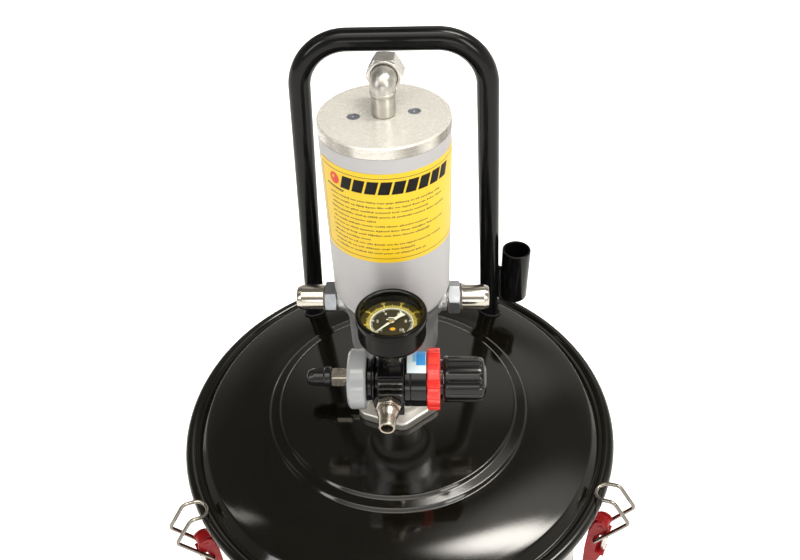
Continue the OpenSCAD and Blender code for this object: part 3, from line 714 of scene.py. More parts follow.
def build_lid():
    top = [(24, 24.6), (90.3, 24.6), (92.3, 22.9), (98.6, 21.5), (100.6, dome_z(100.6))]
    top += [(r, dome_z(r)) for r in np.linspace(106, 146, 14)]
    top += [(150.5, 8.9), (156.9, 2.6), (158.7, 2.9)]
    top = fillet(top, [0, 2.6, 2.8, 2.8, 2.6] + [0] * 14 + [5.0, 1.6, 0], steps=8)
    bead = arc(LID_R - 5, 0, 5, 146, -128, 34)
    bead_inside = arc(LID_R - 5, 0, 4.0, -128, 150, 26)
    under = [(158.9, 1.9), (156.7, 1.5), (150.0, 7.6)]
    under += [(r, dome_z(r) - 1.2) for r in np.linspace(146, 106, 10)]
    under += [(101.0, 18.6), (89.3, 23.4), (24, 23.4)]
    lathe("lid_pressing", from_bead(top + bead + bead_inside + under), "black_enamel",
          seg=288, closed=True, replaces="lid", crease=50)


def build_drum():
    rim_z = DRUM_TOP - 4.5 - BEAD_Z
    floor = DRUM_FLOOR - BEAD_Z
    outer = [(0, floor + 3.0), (146, floor + 3.0), (149, floor), (DRUM_R, floor)]
    for swage in (66, 246):
        outer += [(DRUM_R, floor + swage - 8), (DRUM_R + 2.4, floor + swage),
                  (DRUM_R, floor + swage + 8)]
    outer.append((DRUM_R, rim_z - 5))
    outer = fillet(outer, [0, 2, 1, 2.5, 14, 7, 14, 14, 7, 14, 0], steps=6)
    # the curl runs from the wall round to the drum's inside face
    curl = arc(DRUM_R + 2.5, rim_z, 4.5, -122, 180, 33)
    inside = [(DRUM_R - 1.4, rim_z - 3), (DRUM_R - 1.4, floor + 6), (148, floor + 4.4),
              (0, floor + 4.4)]
    lathe("drum_body", from_bead(outer + curl + inside), "black_enamel_drum", seg=256,
          replaces="drum_shell", crease=50)


# ---------------------------------------------------------------- carry handle, gun holder
HANDLE_Y = middle("carry_handle", 1)
HANDLE_R = 8
HANDLE_TOP = high("carry_handle", 2) - HANDLE_R
HANDLE_HALF = 78                    # half spacing of the legs near the lid
LEG_LEAN = math.tan(math.radians(2.9))


def leg_x(z):
    return HANDLE_HALF - LEG_LEAN * (z - BEAD_Z - 13)


def build_handle():
    foot = BEAD_Z + 11
    corners = [(leg_x(foot), HANDLE_Y, foot), (leg_x(HANDLE_TOP), HANDLE_Y, HANDLE_TOP),
               (-leg_x(HANDLE_TOP), HANDLE_Y, HANDLE_TOP), (-leg_x(foot), HANDLE_Y, foot)]
    path = fillet(corners, [0, 36, 36, 0], steps=22)
    dense = []
    for a, b in zip(path, path[1:]):
        a, b = Vector(a), Vector(b)
        pieces = max(1, int((b - a).length / 6))
        dense += [tuple(a + (b - a) * i / pieces) for i in range(pieces)]
    dense.append(path[-1])
    make("handle_tube", sweep_data(dense, HANDLE_R, 56), "black_tube_paint",
         replaces="carry_handle")
    for side, word in SIDES:
        r = math.hypot(HANDLE_HALF, HANDLE_Y)
        z = BEAD_Z + dome_z(r) + 0.4
        normal = Vector((side * HANDLE_HALF / r * 0.26, HANDLE_Y / r * 0.26, 1)).normalized()
        weld_ring("handle_weld_" + word, (side * leg_x(z), HANDLE_Y, z), normal, 8.6, 1.5,
                  seed=side * 3.1)


def weld_ring(name, centre, normal, r, bead_r, seed):
    """A rippled weld bead round a leg."""
    count, seg, lumps = 150, 14, 26
    normal = Vector(normal).normalized()
    u = normal.orthogonal().normalized()
    w = normal.cross(u)
    path = []
    for i in range(count):
        a = math.radians(360 * i / count)
        wobble = mnoise.noise(Vector((math.cos(a) * 3 + seed, math.sin(a) * 3, 0)))
        path.append(tuple(Vector(centre) + (u * math.cos(a) + w * math.sin(a))
                          * (r + 0.25 * wobble)))
    verts, faces = sweep_data(path, bead_r, seg, closed=True)
    for i, point in enumerate(path):
        t = i / count
        ripple = (bead_r * (1 + 0.14 * math.sin(t * lumps * 2 * math.pi)
                            + 0.1 * mnoise.noise(Vector((t * 9, seed, 1))))) / bead_r
        middle_point = Vector(point)
        for j in range(i * seg, (i + 1) * seg):
            verts[j] = tuple(middle_point + (Vector(verts[j]) - middle_point) * ripple)
    make(name, (verts, faces), "black_tube_paint")


def build_gun_holder():
    lo, hi = box_mm("gun_holder")
    r = (hi[1] - lo[1]) / 2
    x, y = hi[0] - r, (hi[1] + lo[1]) / 2
    z0, z1 = lo[2], hi[2]
    wall = 1.65
    profile = fillet([(0, z0), (r - 3, z0), (r, z0 + 3.2), (r, z1), (r - wall, z1),
                      (r - wall, z0 + 2), (0, z0 + 2)], [0, 2.5, 2.5, 0.7, 0.7, 1.5, 0], steps=6)
    lathe("gun_holder_tube", profile, "black_tube_paint", seg=96, placing=shift(x, y),
          replaces="gun_holder")
    # two rippled weld beads and a web join the holder to the right leg
    bead_r = 1.9
    for side, letter in ((-1, "a"), (1, "b")):
        path = [(leg_x(z) + 8.4 + 0.25 * mnoise.noise(Vector((z * 0.3, side, 0))),
                 y + 0.5 + side * 3.4, z) for z in np.linspace(z0 + 2.5, z0 + 30, 70)]
        bead = sweep_data(path, bead_r, 14, radius_at=lambda t: bead_r * (
            1 + 0.16 * math.sin(t * 14 * 2 * math.pi)))
        make("holder_weld_" + letter, bead, "black_tube_paint")
    make("holder_web", box_data((leg_x(z0 + 16) + 6.6, y - 2.2, z0 + 3),
                                (x - r + 1.4, y + 3.0, z0 + 29)), "black_tube_paint")


# ---------------------------------------------------------------- flange, neck, bleed fitting
def build_flange():
    bore, top, edge = 17.3, FLANGE_TOP, 1.5
    radius = hexagon(62.35, -81, 9.0)
    rows = [(bore, PLATE_Z), (inset(radius, 0.6), PLATE_Z), (radius, PLATE_Z + 0.6)]
    for i in range(7):
        a = i / 6 * math.pi / 2
        rows.append((inset(radius, edge * (1 - math.cos(a))), top - edge + edge * math.sin(a)))
    rows += [(23.6, top), (23.0, top - 0.5), (bore, top - 0.5)]
    lathe("flange_nut", rows, "satin_zinc_casting", seg=240, closed=True,
          replaces="bung_flange", crease=28)
    lathe("flange_spigot", [(bore, PLATE_Z - 22), (23.4, PLATE_Z - 22), (23.8, PLATE_Z - 21.4),
                            (23.8, PLATE_Z), (bore, PLATE_Z)],
          "satin_zinc_casting", seg=120, closed=True)


def build_neck():
    z0, z1 = FLANGE_TOP, high("pump_neck", 2)
    profile = fillet([(17.2, z0 - 0.4), (20.2, z0 - 0.4), (21.5, z0 + 1.2), (21.5, z0 + 4.6),
                      (19.5, z0 + 6.4), (19.5, z1 - 6.5), (23, z1 - 3), (23, z1), (9.2, z1),
                      (9.2, z1 - 7.9), (17.2, z1 - 7.9)], 0.8, closed=True, steps=4)
    lathe("neck_casting", profile, "cast_aluminium", seg=128, closed=True, replaces="pump_neck")


def build_bleed_fitting():
    placing = along("-x", (0, 0, BLEED_Z))
    collar = fillet([(0, 19.2), (5.6, 19.6), (5.6, 36.7), (0, 36.7)], [0, 0.5, 0.6, 0], steps=4)
    lathe("bleed_collar", collar, "nickel_plate", seg=72, placing=placing)
    lathe("bleed_hex", [(0, 36.8)] + hex_rows(13.5, 36.9, 49.5, turn=12) + [(0, 49.6)],
          "nickel_dull", seg=180, placing=placing, replaces="bleed_fitting", crease=26)
    cap = fillet([(0, 49.8), (7.4, 49.8), (8.0, 50.6), (8.0, 54.4), (7.0, 55.6), (6.9, 62.8),
                  (5.6, 67.4), (3.0, 69.0), (0, 69.2)],
                 [0, 0.4, 0.5, 0.6, 0.6, 2.0, 2.5, 2, 0], steps=6)
    lathe("bleed_dust_cap", cap, "black_plastic", seg=96, placing=placing, replaces="bleed_cap")


# ---------------------------------------------------------------- cast air base and side ports
def build_air_base():
    z0, z1 = low("air_base", 2), SLEEVE_Z0 - 0.05
    profile = [(9, z0), (24, z0), (27.0, z0 + 1.4), (30.0, z0 + 5), (31.0, z0 + 10),
               (31.0, z0 + 33), (32.4, z0 + 42), (34, z0 + 53), (36.8, z0 + 58.5),
               (36.8, z1), (9, z1)]
    profile = fillet(profile, [0, 1, 3, 5, 6, 8, 6, 6, 1.5, 0, 0], closed=True, steps=6)
    parts = [lathe_data(profile, 160, True)]
    for direction in ("x", "-x"):
        placing = along(direction, (0, 0, PORT_Z))
        parts.append(rod_data(12.4, 12, 32.6, placing, end_r=11.2))
        parts.append(rod_data(9.5, 12, 37.4, placing))
    parts.append(rod_data(10, 14, 33.2, along("-y", (0, 0, REG_Z))))
    # webs between the side bosses and the flange above
    for x0, x1 in ((24, 34), (-34, -24)):
        parts.append(box_data((x0, -3.2, PORT_Z + 4), (x1, 3.2, SLEEVE_Z0 - 2)))
    fused("air_base_casting", parts, "cast_aluminium", voxel=0.7, smooth=7, replaces="air_base")


def build_ports():
    collar = fillet([(0, 36.6), (7.6, 36.6), (7.6, 38.4), (0, 38.4)], [0, 0.3, 0.3, 0], steps=3)
    cap = fillet([(0, 46.7), (7.9, 46.7), (8.7, 47.6), (8.7, 62.6), (7.5, 65.9), (0, 65.9)],
                 [0, 0.4, 0.7, 0.9, 0.8, 0], steps=5)
    for word, direction, turn in (("right", "x", 8), ("left", "-x", 22)):
        placing = along(direction, (0, 0, PORT_Z))
        lathe("port_collar_" + word, collar, "zinc_plate", seg=72, placing=placing,
              slot="nickel_plate")
        lathe("port_hex_" + word, [(0, 37.9)] + hex_rows(20, 38.0, 46.3, turn) + [(0, 46.4)],
              "bright_zinc", seg=180, placing=placing, replaces="side_fittings", crease=26)
        lathe("port_cap_" + word, cap, "nickel_plate", seg=120, placing=placing,
              replaces="side_caps")


# ---------------------------------------------------------------- air cylinder and its label
# label places are (bearing, z): degrees from the front towards the right, and height
LABEL_R = SLEEVE_R + 0.25
INK_R = LABEL_R + 0.05
LABEL_Z0, LABEL_Z1 = low("cylinder_label", 2), high("cylinder_label", 2)
DEG_PER_MM = 180 / math.pi / LABEL_R


def build_sleeve():
    z1 = SLEEVE_Z1 - 0.15
    profile = fillet([(35, SLEEVE_Z0), (SLEEVE_R, SLEEVE_Z0), (SLEEVE_R, z1), (35, z1)],
                     [0, 1.2, 0.35, 0], closed=True, steps=5)
    lathe("cylinder_sleeve", profile, "turned_aluminium", seg=256, closed=True,
          replaces="cylinder_tube")


def at_bearing(r, bearing, z):
    a = math.radians(bearing)
    return (r * math.sin(a), -r * math.cos(a), z)


def bent_sheet(name, place, columns, rows, r0, r1, finish, **registration):
    """A thin sheet round the sleeve; place(s, t) gives its (bearing, z)."""
    def point(side, i, j):
        return at_bearing((r0, r1)[side], *place(i / columns, j / rows))

    make(name, slab_data(columns, rows, point), finish, crease=50, **registration)


def bar(name, a0, a1, z0, z1, finish="label_ink", slant=0.0, columns=6):
    """A printed bar between two bearings; slant is the shift along the sleeve per height."""
    def place(s, t):
        return a0 + (a1 - a0) * s + slant * DEG_PER_MM * (z1 - z0) * t, z0 + (z1 - z0) * t

    bent_sheet(name, place, columns, 2, LABEL_R, INK_R, finish)


def printed_disc(name, bearing, z, r, finish, r0, r1):
    n = 48
    verts = []
    for layer in (r0, r1):
        for i in range(n):
            t = 2 * math.pi * i / n
            verts.append(at_bearing(layer, bearing + r * math.cos(t) * DEG_PER_MM,
                                    z + r * math.sin(t)))
    verts += [at_bearing(layer, bearing, z) for layer in (r0, r1)]
    faces = []
    for i in range(n):
        j = (i + 1) % n
        faces += [[i, j, n + j, n + i], [2 * n, j, i], [2 * n + 1, n + i, n + j]]
    make(name, (verts, faces), finish)


def build_label_film():
    a0, a1, corner = -68, 92, 3.4

    def place(s, t):
        a = a0 + (a1 - a0) * s
        from_end = min((a - a0), (a1 - a)) / DEG_PER_MM
        cut = 0
        if from_end < corner:
            cut = corner - math.sqrt(max(0, corner * corner - (corner - from_end) ** 2))
        return a, LABEL_Z0 + cut + (LABEL_Z1 - LABEL_Z0 - 2 * cut) * t

    bent_sheet("label_film", place, 200, 8, SLEEVE_R, LABEL_R, "label_film",
               replaces="cylinder_label")


def build_label_print():
    inset_z, line = 3.2, 0.4
    z0, z1 = LABEL_Z0 + inset_z, LABEL_Z1 - inset_z
    thin = "label_fine_ink"
    bar("label_border_top", -64, 88, z1, z1 + line, thin, columns=120)
    bar("label_border_bottom", -64, 88, z0 - line, z0, thin, columns=120)
    bar("label_border_left", -64.3, -63.7, z0 - line, z1 + line, thin)
    bar("label_border_right", 87.7, 88.3, z0 - line, z1 + line, thin)
    # slanted heading blocks
    width, gap = 9.6, 1.9
    for i in range(9):
        a = -39.0 + i * (width + gap)
        bar("label_block_%d" % i, a, a + width, LABEL_Z1 - 13.4, LABEL_Z1 - 5.0, slant=0.28)
    spot_a, spot_z = -45.5, LABEL_Z1 - 9.0
    printed_disc("label_red_spot", spot_a, spot_z, 3.8, "label_red_ink", LABEL_R, INK_R)
    printed_disc("label_spot_centre", spot_a - 1.2, spot_z + 0.9, 0.9, "label_film",
                 INK_R, INK_R + 0.03)
    # short hatched streak under the spot
    for i in range(9):
        a = -57 + i * 2.3
        bar("label_hatch_%d" % i, a, a + 1.7, LABEL_Z1 - 15.2 - i * 0.14,
            LABEL_Z1 - 14.1 - i * 0.10, slant=0.9, columns=2)


def build_small_print():
    """Rows of small upright marks of uneven height, in groups."""
    rng = np.random.RandomState(7)
    row_ends = [50, 56, 34, 58, -14, 28, 57, 30, -18, 52, 20, 34]    # bearings
    for row, row_end in enumerate(row_ends):
        z = LABEL_Z1 - 19.6 - row * 3.3
        a = -52.0 + (1.6 if row % 3 else 0)
        verts, faces = [], []
        while a < row_end:
            for _ in range(int(rng.randint(2, 9))):
                w = rng.uniform(0.75, 1.5)
                z0 = z - (0.25 if rng.rand() < 0.15 else 0)
                z1 = z + (1.15 if rng.rand() < 0.3 else 0.82)
                b = len(verts)
                for r in (LABEL_R, INK_R):
                    verts += [at_bearing(r, *p) for p in ((a, z0), (a + w, z0),
                                                          (a + w, z1), (a, z1))]
                faces += [[b + 3, b + 2, b + 1, b], [b + 4, b + 5, b + 6, b + 7]]
                faces += [[b + k, b + (k + 1) % 4, b + 4 + (k + 1) % 4, b + 4 + k]
                          for k in range(4)]
                a += w + 0.55
            a += 1.1
        make("label_small_print_%d" % row, (verts, faces), "label_fine_ink")


# ---------------------------------------------------------------- outlet elbow and swivel nut
def build_outlet():
    yaw = -4
    cap, z = CAP_TOP, OUTLET_Z
    placing = along("y", (0, 0, z), yaw)
    stem = [(0, cap - 7), (6.4, cap - 7), (6.4, cap - 0.4), (6.3, cap + 0.1), (6.9, cap + 0.8),
            (7.0, cap + 1.2), (7.0, z - 7.0), (6.6, z - 6.7), (6.55, z - 6.1), (7.5, z - 5.8),
            (7.5, z - 4.6), (6.9, z - 4.1), (6.7, z - 3), (0, z - 3)]
    lathe("outlet_stem", stem, "plated_casting", seg=128, crease=30)
    reach = 7.1
    end = (reach * -math.sin(math.radians(yaw)), reach * math.cos(math.radians(yaw)), z)
    bend = fillet([(0, 0, z - 5), (0, 0, z), end], [0, 4.6, 0], steps=14)
    parts = [sweep_data(bend, 7.35, 48), rod_data(7.5, 3.5, 6.9, placing),
             rod_data(6.0, 6, 11, placing)]
    fused("outlet_elbow_body", parts, "plated_casting", voxel=0.35, smooth=5,
          replaces="outlet_elbow")
    flare = fillet([(3.2, 10.6), (6.8, 10.6), (5.9, 12.35), (3.2, 12.35)], 0.1, closed=True,
                   steps=3)
    lathe("outlet_flare", flare, "zinc_plate", seg=96, closed=True, placing=placing)
    thread = []
    for i in range(5):
        top = 18.9 - i * 1.2
        thread += [(7.5, top), (7.95, top - 0.35), (7.95, top - 0.6), (7.5, top - 0.95)]
    rows = [(6.1, 8.2), (7.7, 8.1), (7.9, 7.2), (8.6, 7.15)] + hex_rows(19, 7.25, 20.1)
    rows += [(8.3, 20.2), (7.9, 19.7)] + thread
    rows += [(7.5, 12.8), (7.2, 12.7), (7.2, 10.3), (6.1, 10.2)]
    lathe("swivel_nut", rows, "zinc_plate", seg=180, closed=True, placing=placing,
          body="outlet_nut", replaces="outlet_nut", crease=26)


# ---------------------------------------------------------------- regulator, lying along x
REG_PLACING = shift(0, REG_Y, REG_Z)
REG_X = REG_PLACING @ along("x")
BONNET_R = 17.3


def build_regulator_body():
    for k, (y, z) in enumerate(((-20.0, 8.4), (-18.0, 11.6), (-17.2, 15.6))):
        outline = fillet([(-5.6, z - 0.7), (8.8, z - 0.7), (8.8, z + 0.7), (-5.6, z + 0.7)], 0.5,
                         closed=True, steps=4)
        make("regulator_ridge_%d" % k, prism_data(outline, y - 1.0, y + 3),
             "moulded_black_edge", placing=REG_PLACING, crease=50)
    parts = [
        rod_data(17.9, 4.5, 9.7, along("x"), seg=96),
        box_data((-6.5, -15.5, -14.5), (9.7, 13.5, 19)),
        box_data((-6.5, -20.2, -11.5), (9.7, 20, 9.0)),
        prism_data([(-6.5, 9.0), (9.7, 9.0), (9.7, 16.5), (-6.5, 16.5)], -17.5, -10),
        rod_data(9.4, 18, 21, along("-y")),
        rod_data(6.6, 12, 19.7, shift(GAUGE_X, 0)),
        rod_data(13.6, -14, -5, along("x"), seg=96),
        rod_data(15.4, -10.6, -9.0, along("x"), seg=96),
    ]
    fused("regulator_body", parts, "moulded_black", voxel=0.35, smooth=5, placing=REG_PLACING,
          replaces="reg_body")
    cap = fillet([(0, -26), (17.4, -26), (19.3, -24.2), (19.3, -15.4), (18.2, -14.1),
                  (14.0, -14.1), (14.0, -18), (0, -18)],
                 [0, 1.6, 1.6, 1.0, 0.6, 0.4, 0, 0], steps=6)
    lathe("regulator_bottom_cap", cap, "grey_plastic", placing=REG_X, replaces="reg_bottom_cap")
    bonnet = fillet([(13, 10.6), (13, 9.85), (BONNET_R, 9.85), (BONNET_R, 13.2), (16.9, 13.6),
                     (BONNET_R, 14.0), (BONNET_R, 23.8), (12.5, 23.8), (12.5, 34), (4.05, 34),
                     (4.05, 29.8), (11, 29.8), (11, 10.6)],
                    [0, 0, 0.4, 0.1, 0.1, 0.1, 0.5, 0, 0.4, 0, 0, 0, 0], closed=True, steps=4)
    lathe("regulator_bonnet", bonnet, "black_gloss_plastic", closed=True, placing=REG_X,
          replaces="reg_bonnet")


def ring_radius(a):
    """Twelve raised pads and twelve gaps, with steep ramps between."""
    k = (a % 30) / 30
    lo, hi, ramp = 18.25, 19.72, 0.05
    if k < 0.5 - ramp:
        return hi
    if k < 0.5:
        return hi - (hi - lo) * (k - 0.5 + ramp) / ramp
    if k < 1 - ramp:
        return lo
    return lo + (hi - lo) * (k - 1 + ramp) / ramp


def build_ring_nut():
    rows = [(12.5, 23.85), (capped(ring_radius, 17.6), 23.85), (inset(ring_radius, 0.5), 24.1),
            (ring_radius, 24.8), (ring_radius, 31.2), (inset(ring_radius, 0.5), 31.95),
            (16.8, 32.2), (16.3, 31.6), (13.4, 31.6), (12.5, 31.9)]
    lathe("regulator_ring_nut", rows, "red_plastic", seg=360, closed=True, placing=REG_X,
          replaces="reg_ring_nut", crease=28)


def flute(a):
    """Depth of the knob's grip grooves at an angle."""
    count, width, depth = 18, 0.30, 0.95
    k = ((a + 4) % (360 / count)) / (360 / count)
    if abs(k - 0.5) >= width / 2:
        return 0
    return depth * (0.5 + 0.5 * math.cos((k - 0.5) / width * 2 * math.pi)) ** 0.55


def fluted(radius, share=1):
    return lambda a: radius - flute(a) * share


def build_knob():
    rows = [(0, 56.2), (4.08, 56.2), (4.08, 42.2), (11.8, 42.2), (11.8, 34.4), (13.9, 34.4),
            (14.6, 35.0), (14.78, 35.8), (14.78, 37.0)]
    for i in range(7):
        t = i / 6
        rows.append((fluted(14.75, math.sin(t * math.pi / 2)), 37.0 + 1.4 * t))
    rows.append((fluted(14.6), 55.5))
    for i in range(1, 9):
        t = i / 8
        rows.append((fluted(14.6 - 2.6 * (1 - math.cos(t * math.pi / 2)), 1 - t),
                     55.5 + 4.2 * math.sin(t * math.pi / 2)))
    rows += [(10.6, 60.2), (9.6, 60.9), (8.9, 60.95), (8.5, 60.5), (0, 60.4)]
    lathe("regulator_knob_shell", rows, "black_gloss_plastic", seg=540, placing=REG_X,
          body="regulator_knob", replaces="reg_knob", crease=40)


def bonnet_patch(name, a0, a1, x0, x1, finish, r, thickness):
    """A patch on the bonnet; bearings run from straight up towards the front."""
    n = 24

    def point(side, i, j):
        radius = (r, r + thickness)[side]
        t = math.radians(a0 + (a1 - a0) * i / n)
        return (x0, x1)[j], REG_Y - radius * math.sin(t), REG_Z + radius * math.cos(t)

    make(name, slab_data(n, 1, point), finish)


def build_bonnet_sticker():
    film = 0.08
    top = BONNET_R + film
    bonnet_patch("bonnet_sticker", -52, 30, 11.4, 23.4, "sticker_white", BONNET_R, film)
    bonnet_patch("bonnet_sticker_band", -49, 13, 17.2, 22.9, "sticker_blue", top, 0.05)
    bonnet_patch("bonnet_sticker_fade", -49, 4, 14.8, 17.15, "sticker_pale_blue", top, 0.05)


def build_air_inlet():
    rows = [(0, 19.5)] + hex_rows(14.5, 21.1, 25.2, turn=15)
    rows += [(6.1, 25.3), (6.1, 25.7), (6.8, 26.2), (7.0, 26.8), (6.9, 27.8), (6.3, 29.6),
             (5.7, 31.4), (5.35, 32.6), (5.25, 38.9), (5.0, 39.7), (4.5, 40.0), (3.7, 39.9),
             (3.5, 39.3), (3.5, 27), (0, 26.6)]
    lathe("inlet_nozzle_body", rows, "nickel_dull", seg=180, placing=REG_PLACING @ along("-y"),
          replaces="inlet_nozzle", crease=26)
    # nipple between the regulator and the air base
    rows = [(0, 33.0), (6.2, 33.1)] + hex_rows(15, 33.7, 43.8) + [(0, 43.9)]
    lathe("air_nipple_hex", rows, "nickel_plate", seg=144, placing=along("-y", (0, 0, REG_Z)),
          replaces="air_nipple", crease=26)


# ---------------------------------------------------------------- gauge, facing up
GAUGE = shift(GAUGE_X, REG_Y)
SCALE_START, SCALE_SWEEP = -135.0, 270.0    # zero at lower left, running clockwise


def scale_angle(share):
    return SCALE_START - SCALE_SWEEP * share


def build_gauge_case():
    z0, z1 = GAUGE_Z0, GAUGE_TOP
    case = fillet([(0, z0), (18.6, z0), (20.2, z0 + 1.8), (20.7, z0 + 4), (20.7, z0 + 15.6),
                   (21.5, z0 + 16.4), (21.5, z1 - 0.9), (20.7, z1), (19.4, z1),
                   (18.55, z1 - 1.0), (18.5, z1 - 4.2), (19.2, z1 - 4.6), (19.2, z0 + 3),
                   (6.2, z0 + 3), (6.2, z0 + 2), (0, z0 + 2)],
                  [0, 1.5, 1.5, 1.0, 0.5, 0.5, 0.8, 0.7, 0.5, 0.6, 0, 0, 0.3, 0, 0, 0], steps=6)
    lathe("gauge_can", case, "gauge_case_black", seg=200, placing=GAUGE, replaces="gauge_case",
          crease=40)
    stem = [(0, REG_Z + 19.6)] + hex_rows(12, REG_Z + 19.7, z0 - 2.0, turn=10)
    stem += [(7.6, z0 - 1.9), (8.6, z0 - 0.2), (0, z0 - 0.1)]
    lathe("gauge_stem_hex", stem, "nickel_plate", seg=144, placing=GAUGE, crease=26)
    bezel = fillet([(18.6, z1 - 0.65), (19.3, z1 - 0.05), (20.3, z1 + 0.0), (20.3, z1 - 0.3),
                    (19.2, z1 - 0.5), (18.6, z1 - 1.1)], 0.1, closed=True, steps=3)
    lathe("gauge_bezel_line", bezel, "black_plastic", closed=True, placing=GAUGE)


def flat_shapes(name, outlines, finish, z0, z1):
    """Thin raised shapes on the dial; outlines are (x, y) round the gauge's axis."""
    verts, faces = [], []
    for outline in outlines:
        b, n = len(verts), len(outline)
        verts += [(x, y, z) for z in (z0, z1) for x, y in outline]
        faces += [[b + i for i in range(n)][::-1], [b + n + i for i in range(n)]]
        faces += [[b + i, b + (i + 1) % n, b + n + (i + 1) % n, b + n + i] for i in range(n)]
    make(name, (verts, faces), finish, placing=GAUGE, crease=20)


def tick(a, r0, r1, width):
    c, s = math.cos(math.radians(a)), math.sin(math.radians(a))
    h = width / 2
    return [(r0 * c + h * s, r0 * s - h * c), (r1 * c + h * s, r1 * s - h * c),
            (r1 * c - h * s, r1 * s + h * c), (r0 * c - h * s, r0 * s + h * c)]


def number_mesh(text, a, r, size, z):
    curve = bpy.data.curves.new("num", "FONT")
    curve.body = text
    curve.size = size * MM
    curve.align_x = "CENTER"
    curve.align_y = "CENTER"
    curve.extrude = 0.02 * MM
    obj = bpy.data.objects.new("num", curve)
    bpy.context.scene.collection.objects.link(obj)
    depsgraph = bpy.context.evaluated_depsgraph_get()
    mesh = bpy.data.meshes.new_from_object(obj.evaluated_get(depsgraph))
    bpy.data.objects.remove(obj)
    c, s = math.cos(math.radians(a)), math.sin(math.radians(a))
    mesh.transform(shift(GAUGE_X * MM + r * c * MM, REG_Y * MM + r * s * MM, z * MM))
    return mesh


def number_ring(name, values, full, r, size, finish, z):
    """Numbers round the scale, whose far end reads full."""
    bm = bmesh.new()
    for value in values:
        mesh = number_mesh(str(value), scale_angle(value / full), r, size, z)
        bm.from_mesh(mesh)
        bpy.data.meshes.remove(mesh)
    bmesh.ops.remove_doubles(bm, verts=bm.verts, dist=1e-7)
    mesh = bpy.data.meshes.new(name)
    bm.to_mesh(mesh)
    bm.free()
    add_object(name, mesh, finish)


def build_dial():
    z = DIAL_Z
    card = fillet([(0, z - 0.8), (19.15, z - 0.8), (19.15, z), (0, z)], 0, steps=2)
    lathe("gauge_dial_card", card, "dial_card", placing=GAUGE, replaces="gauge_dial")
    lathe("gauge_dial_band", [(13.3, z), (19.0, z), (19.0, z + 0.03), (13.3, z + 0.03)],
          "dial_band", closed=True, placing=GAUGE)
    ticks = []
    for i in range(71):
        end = 16.6 if i % 10 == 0 else 15.9 if i % 5 == 0 else 15.2
        ticks.append(tick(scale_angle(i / 70), 13.45, end, 0.42 if i % 10 else 0.62))
    flat_shapes("dial_outer_ticks", ticks, "dial_yellow", z + 0.03, z + 0.07)
    ticks = []
    for i in range(51):
        start, width = (11.5, 0.34) if i % 10 else (10.5, 0.55)
        ticks.append(tick(scale_angle(i / 50), start, 12.7, width))
    flat_shapes("dial_inner_ticks", ticks, "dial_white", z, z + 0.05)
    n = 180

    def ring_point(side, i, j):
        r = (12.65, 13.2)[i]
        t = math.radians(scale_angle(j / n))
        return r * math.cos(t), r * math.sin(t), (z, z + 0.05)[side]

    make("dial_ring", slab_data(1, n, ring_point), "dial_white", placing=GAUGE)
    number_ring("dial_outer_numbers", range(0, 141, 20), full=140, r=17.75, size=2.5,
                finish="dial_yellow", z=z + 0.05)
    number_ring("dial_inner_numbers", range(0, 11, 2), full=10, r=8.6, size=3.2,
                finish="dial_white", z=z + 0.03)
    # a small oval and two bars
    angles = [math.radians(k * 20) for k in range(18)]
    oval = [(0.8 + 1.7 * math.cos(a), -5.2 + 1.3 * math.sin(a)) for a in angles]
    flat_shapes("dial_mark", [oval], "dial_orange", z, z + 0.04)
    bars = [[(-3.2, 2.6), (3.2, 2.6), (3.2, 3.4), (-3.2, 3.4)],
            [(-2.2, 4.2), (2.2, 4.2), (2.2, 4.8), (-2.2, 4.8)]]
    flat_shapes("dial_centre_bars", bars, "dial_white", z, z + 0.04)


def build_needle():
    z = GAUGE_Z0 + 13.0
    a = math.radians(SCALE_START)
    c, s = math.cos(a), math.sin(a)
    outline = [(-9.6, -1.9), (-9.6, 1.9), (-6.4, 1.1), (-2.0, 0.75), (0, 0.85), (14.6, 0.16),
               (15.0, 0), (14.6, -0.16), (0, -0.85), (-2.0, -0.75), (-6.4, -1.1)]
    turned = [(x * c - y * s, x * s + y * c) for x, y in outline]
    n = len(turned)
    verts = [(x, y, height) for height in (z, z + 0.35) for x, y in turned]
    faces = []
    for cell in ([0, 1, 2, 10], [2, 3, 9, 10], [3, 4, 8, 9], [4, 5, 7, 8], [5, 6, 7]):
        faces += [cell, [i + n for i in cell][::-1]]
    faces += [[i, (i + 1) % n, (i + 1) % n + n, i + n] for i in range(n)]
    make("needle_blade", (verts, faces), "needle_paint", placing=GAUGE, body="gauge_needle",
         replaces="gauge_needle", crease=20)
    hub = fillet([(0, z - 6.6), (1.1, z - 6.6), (1.1, z - 0.4), (2.2, z - 0.4), (2.2, z + 1.1),
                  (0, z + 1.3)], [0, 0, 0, 0.2, 0.6, 0], steps=5)
    lathe("needle_hub", hub, "zinc_plate", seg=64, placing=GAUGE, body="gauge_needle",
          slot="needle_white")


def build_window():
    z = low("gauge_lens", 2)
    crown = [(19.1 * math.sin(t * math.pi / 2), z + 1.45 + 0.55 * math.cos(t * math.pi / 2))
             for t in np.linspace(0, 1, 14)]
    profile = [(0, z + 1.0), (19.1, z + 0.45)] + crown[::-1][:-1] + [(0, crown[0][1])]
    lathe("gauge_window", profile, "clear_window", placing=GAUGE, replaces="gauge_lens",
          crease=60)


def build_cap_plugs():
    hi = box_mm("cap_plugs")[1]
    x, y, z = hi[0] - 3.75, hi[1] - 3.75, CAP_TOP
    profile = fillet([(0, z - 2.9), (3.7, z - 2.9), (3.7, z - 0.45), (0.9, z - 0.45),
                      (0.6, z - 0.8), (0, z - 0.8)], [0, 0, 0.35, 0.2, 0, 0], steps=4)
    for side, word in SIDES:
        lathe("cap_plug_" + word, profile, "plug_steel", seg=64,
              placing=shift(side * x, side * y), replaces="cap_plugs")


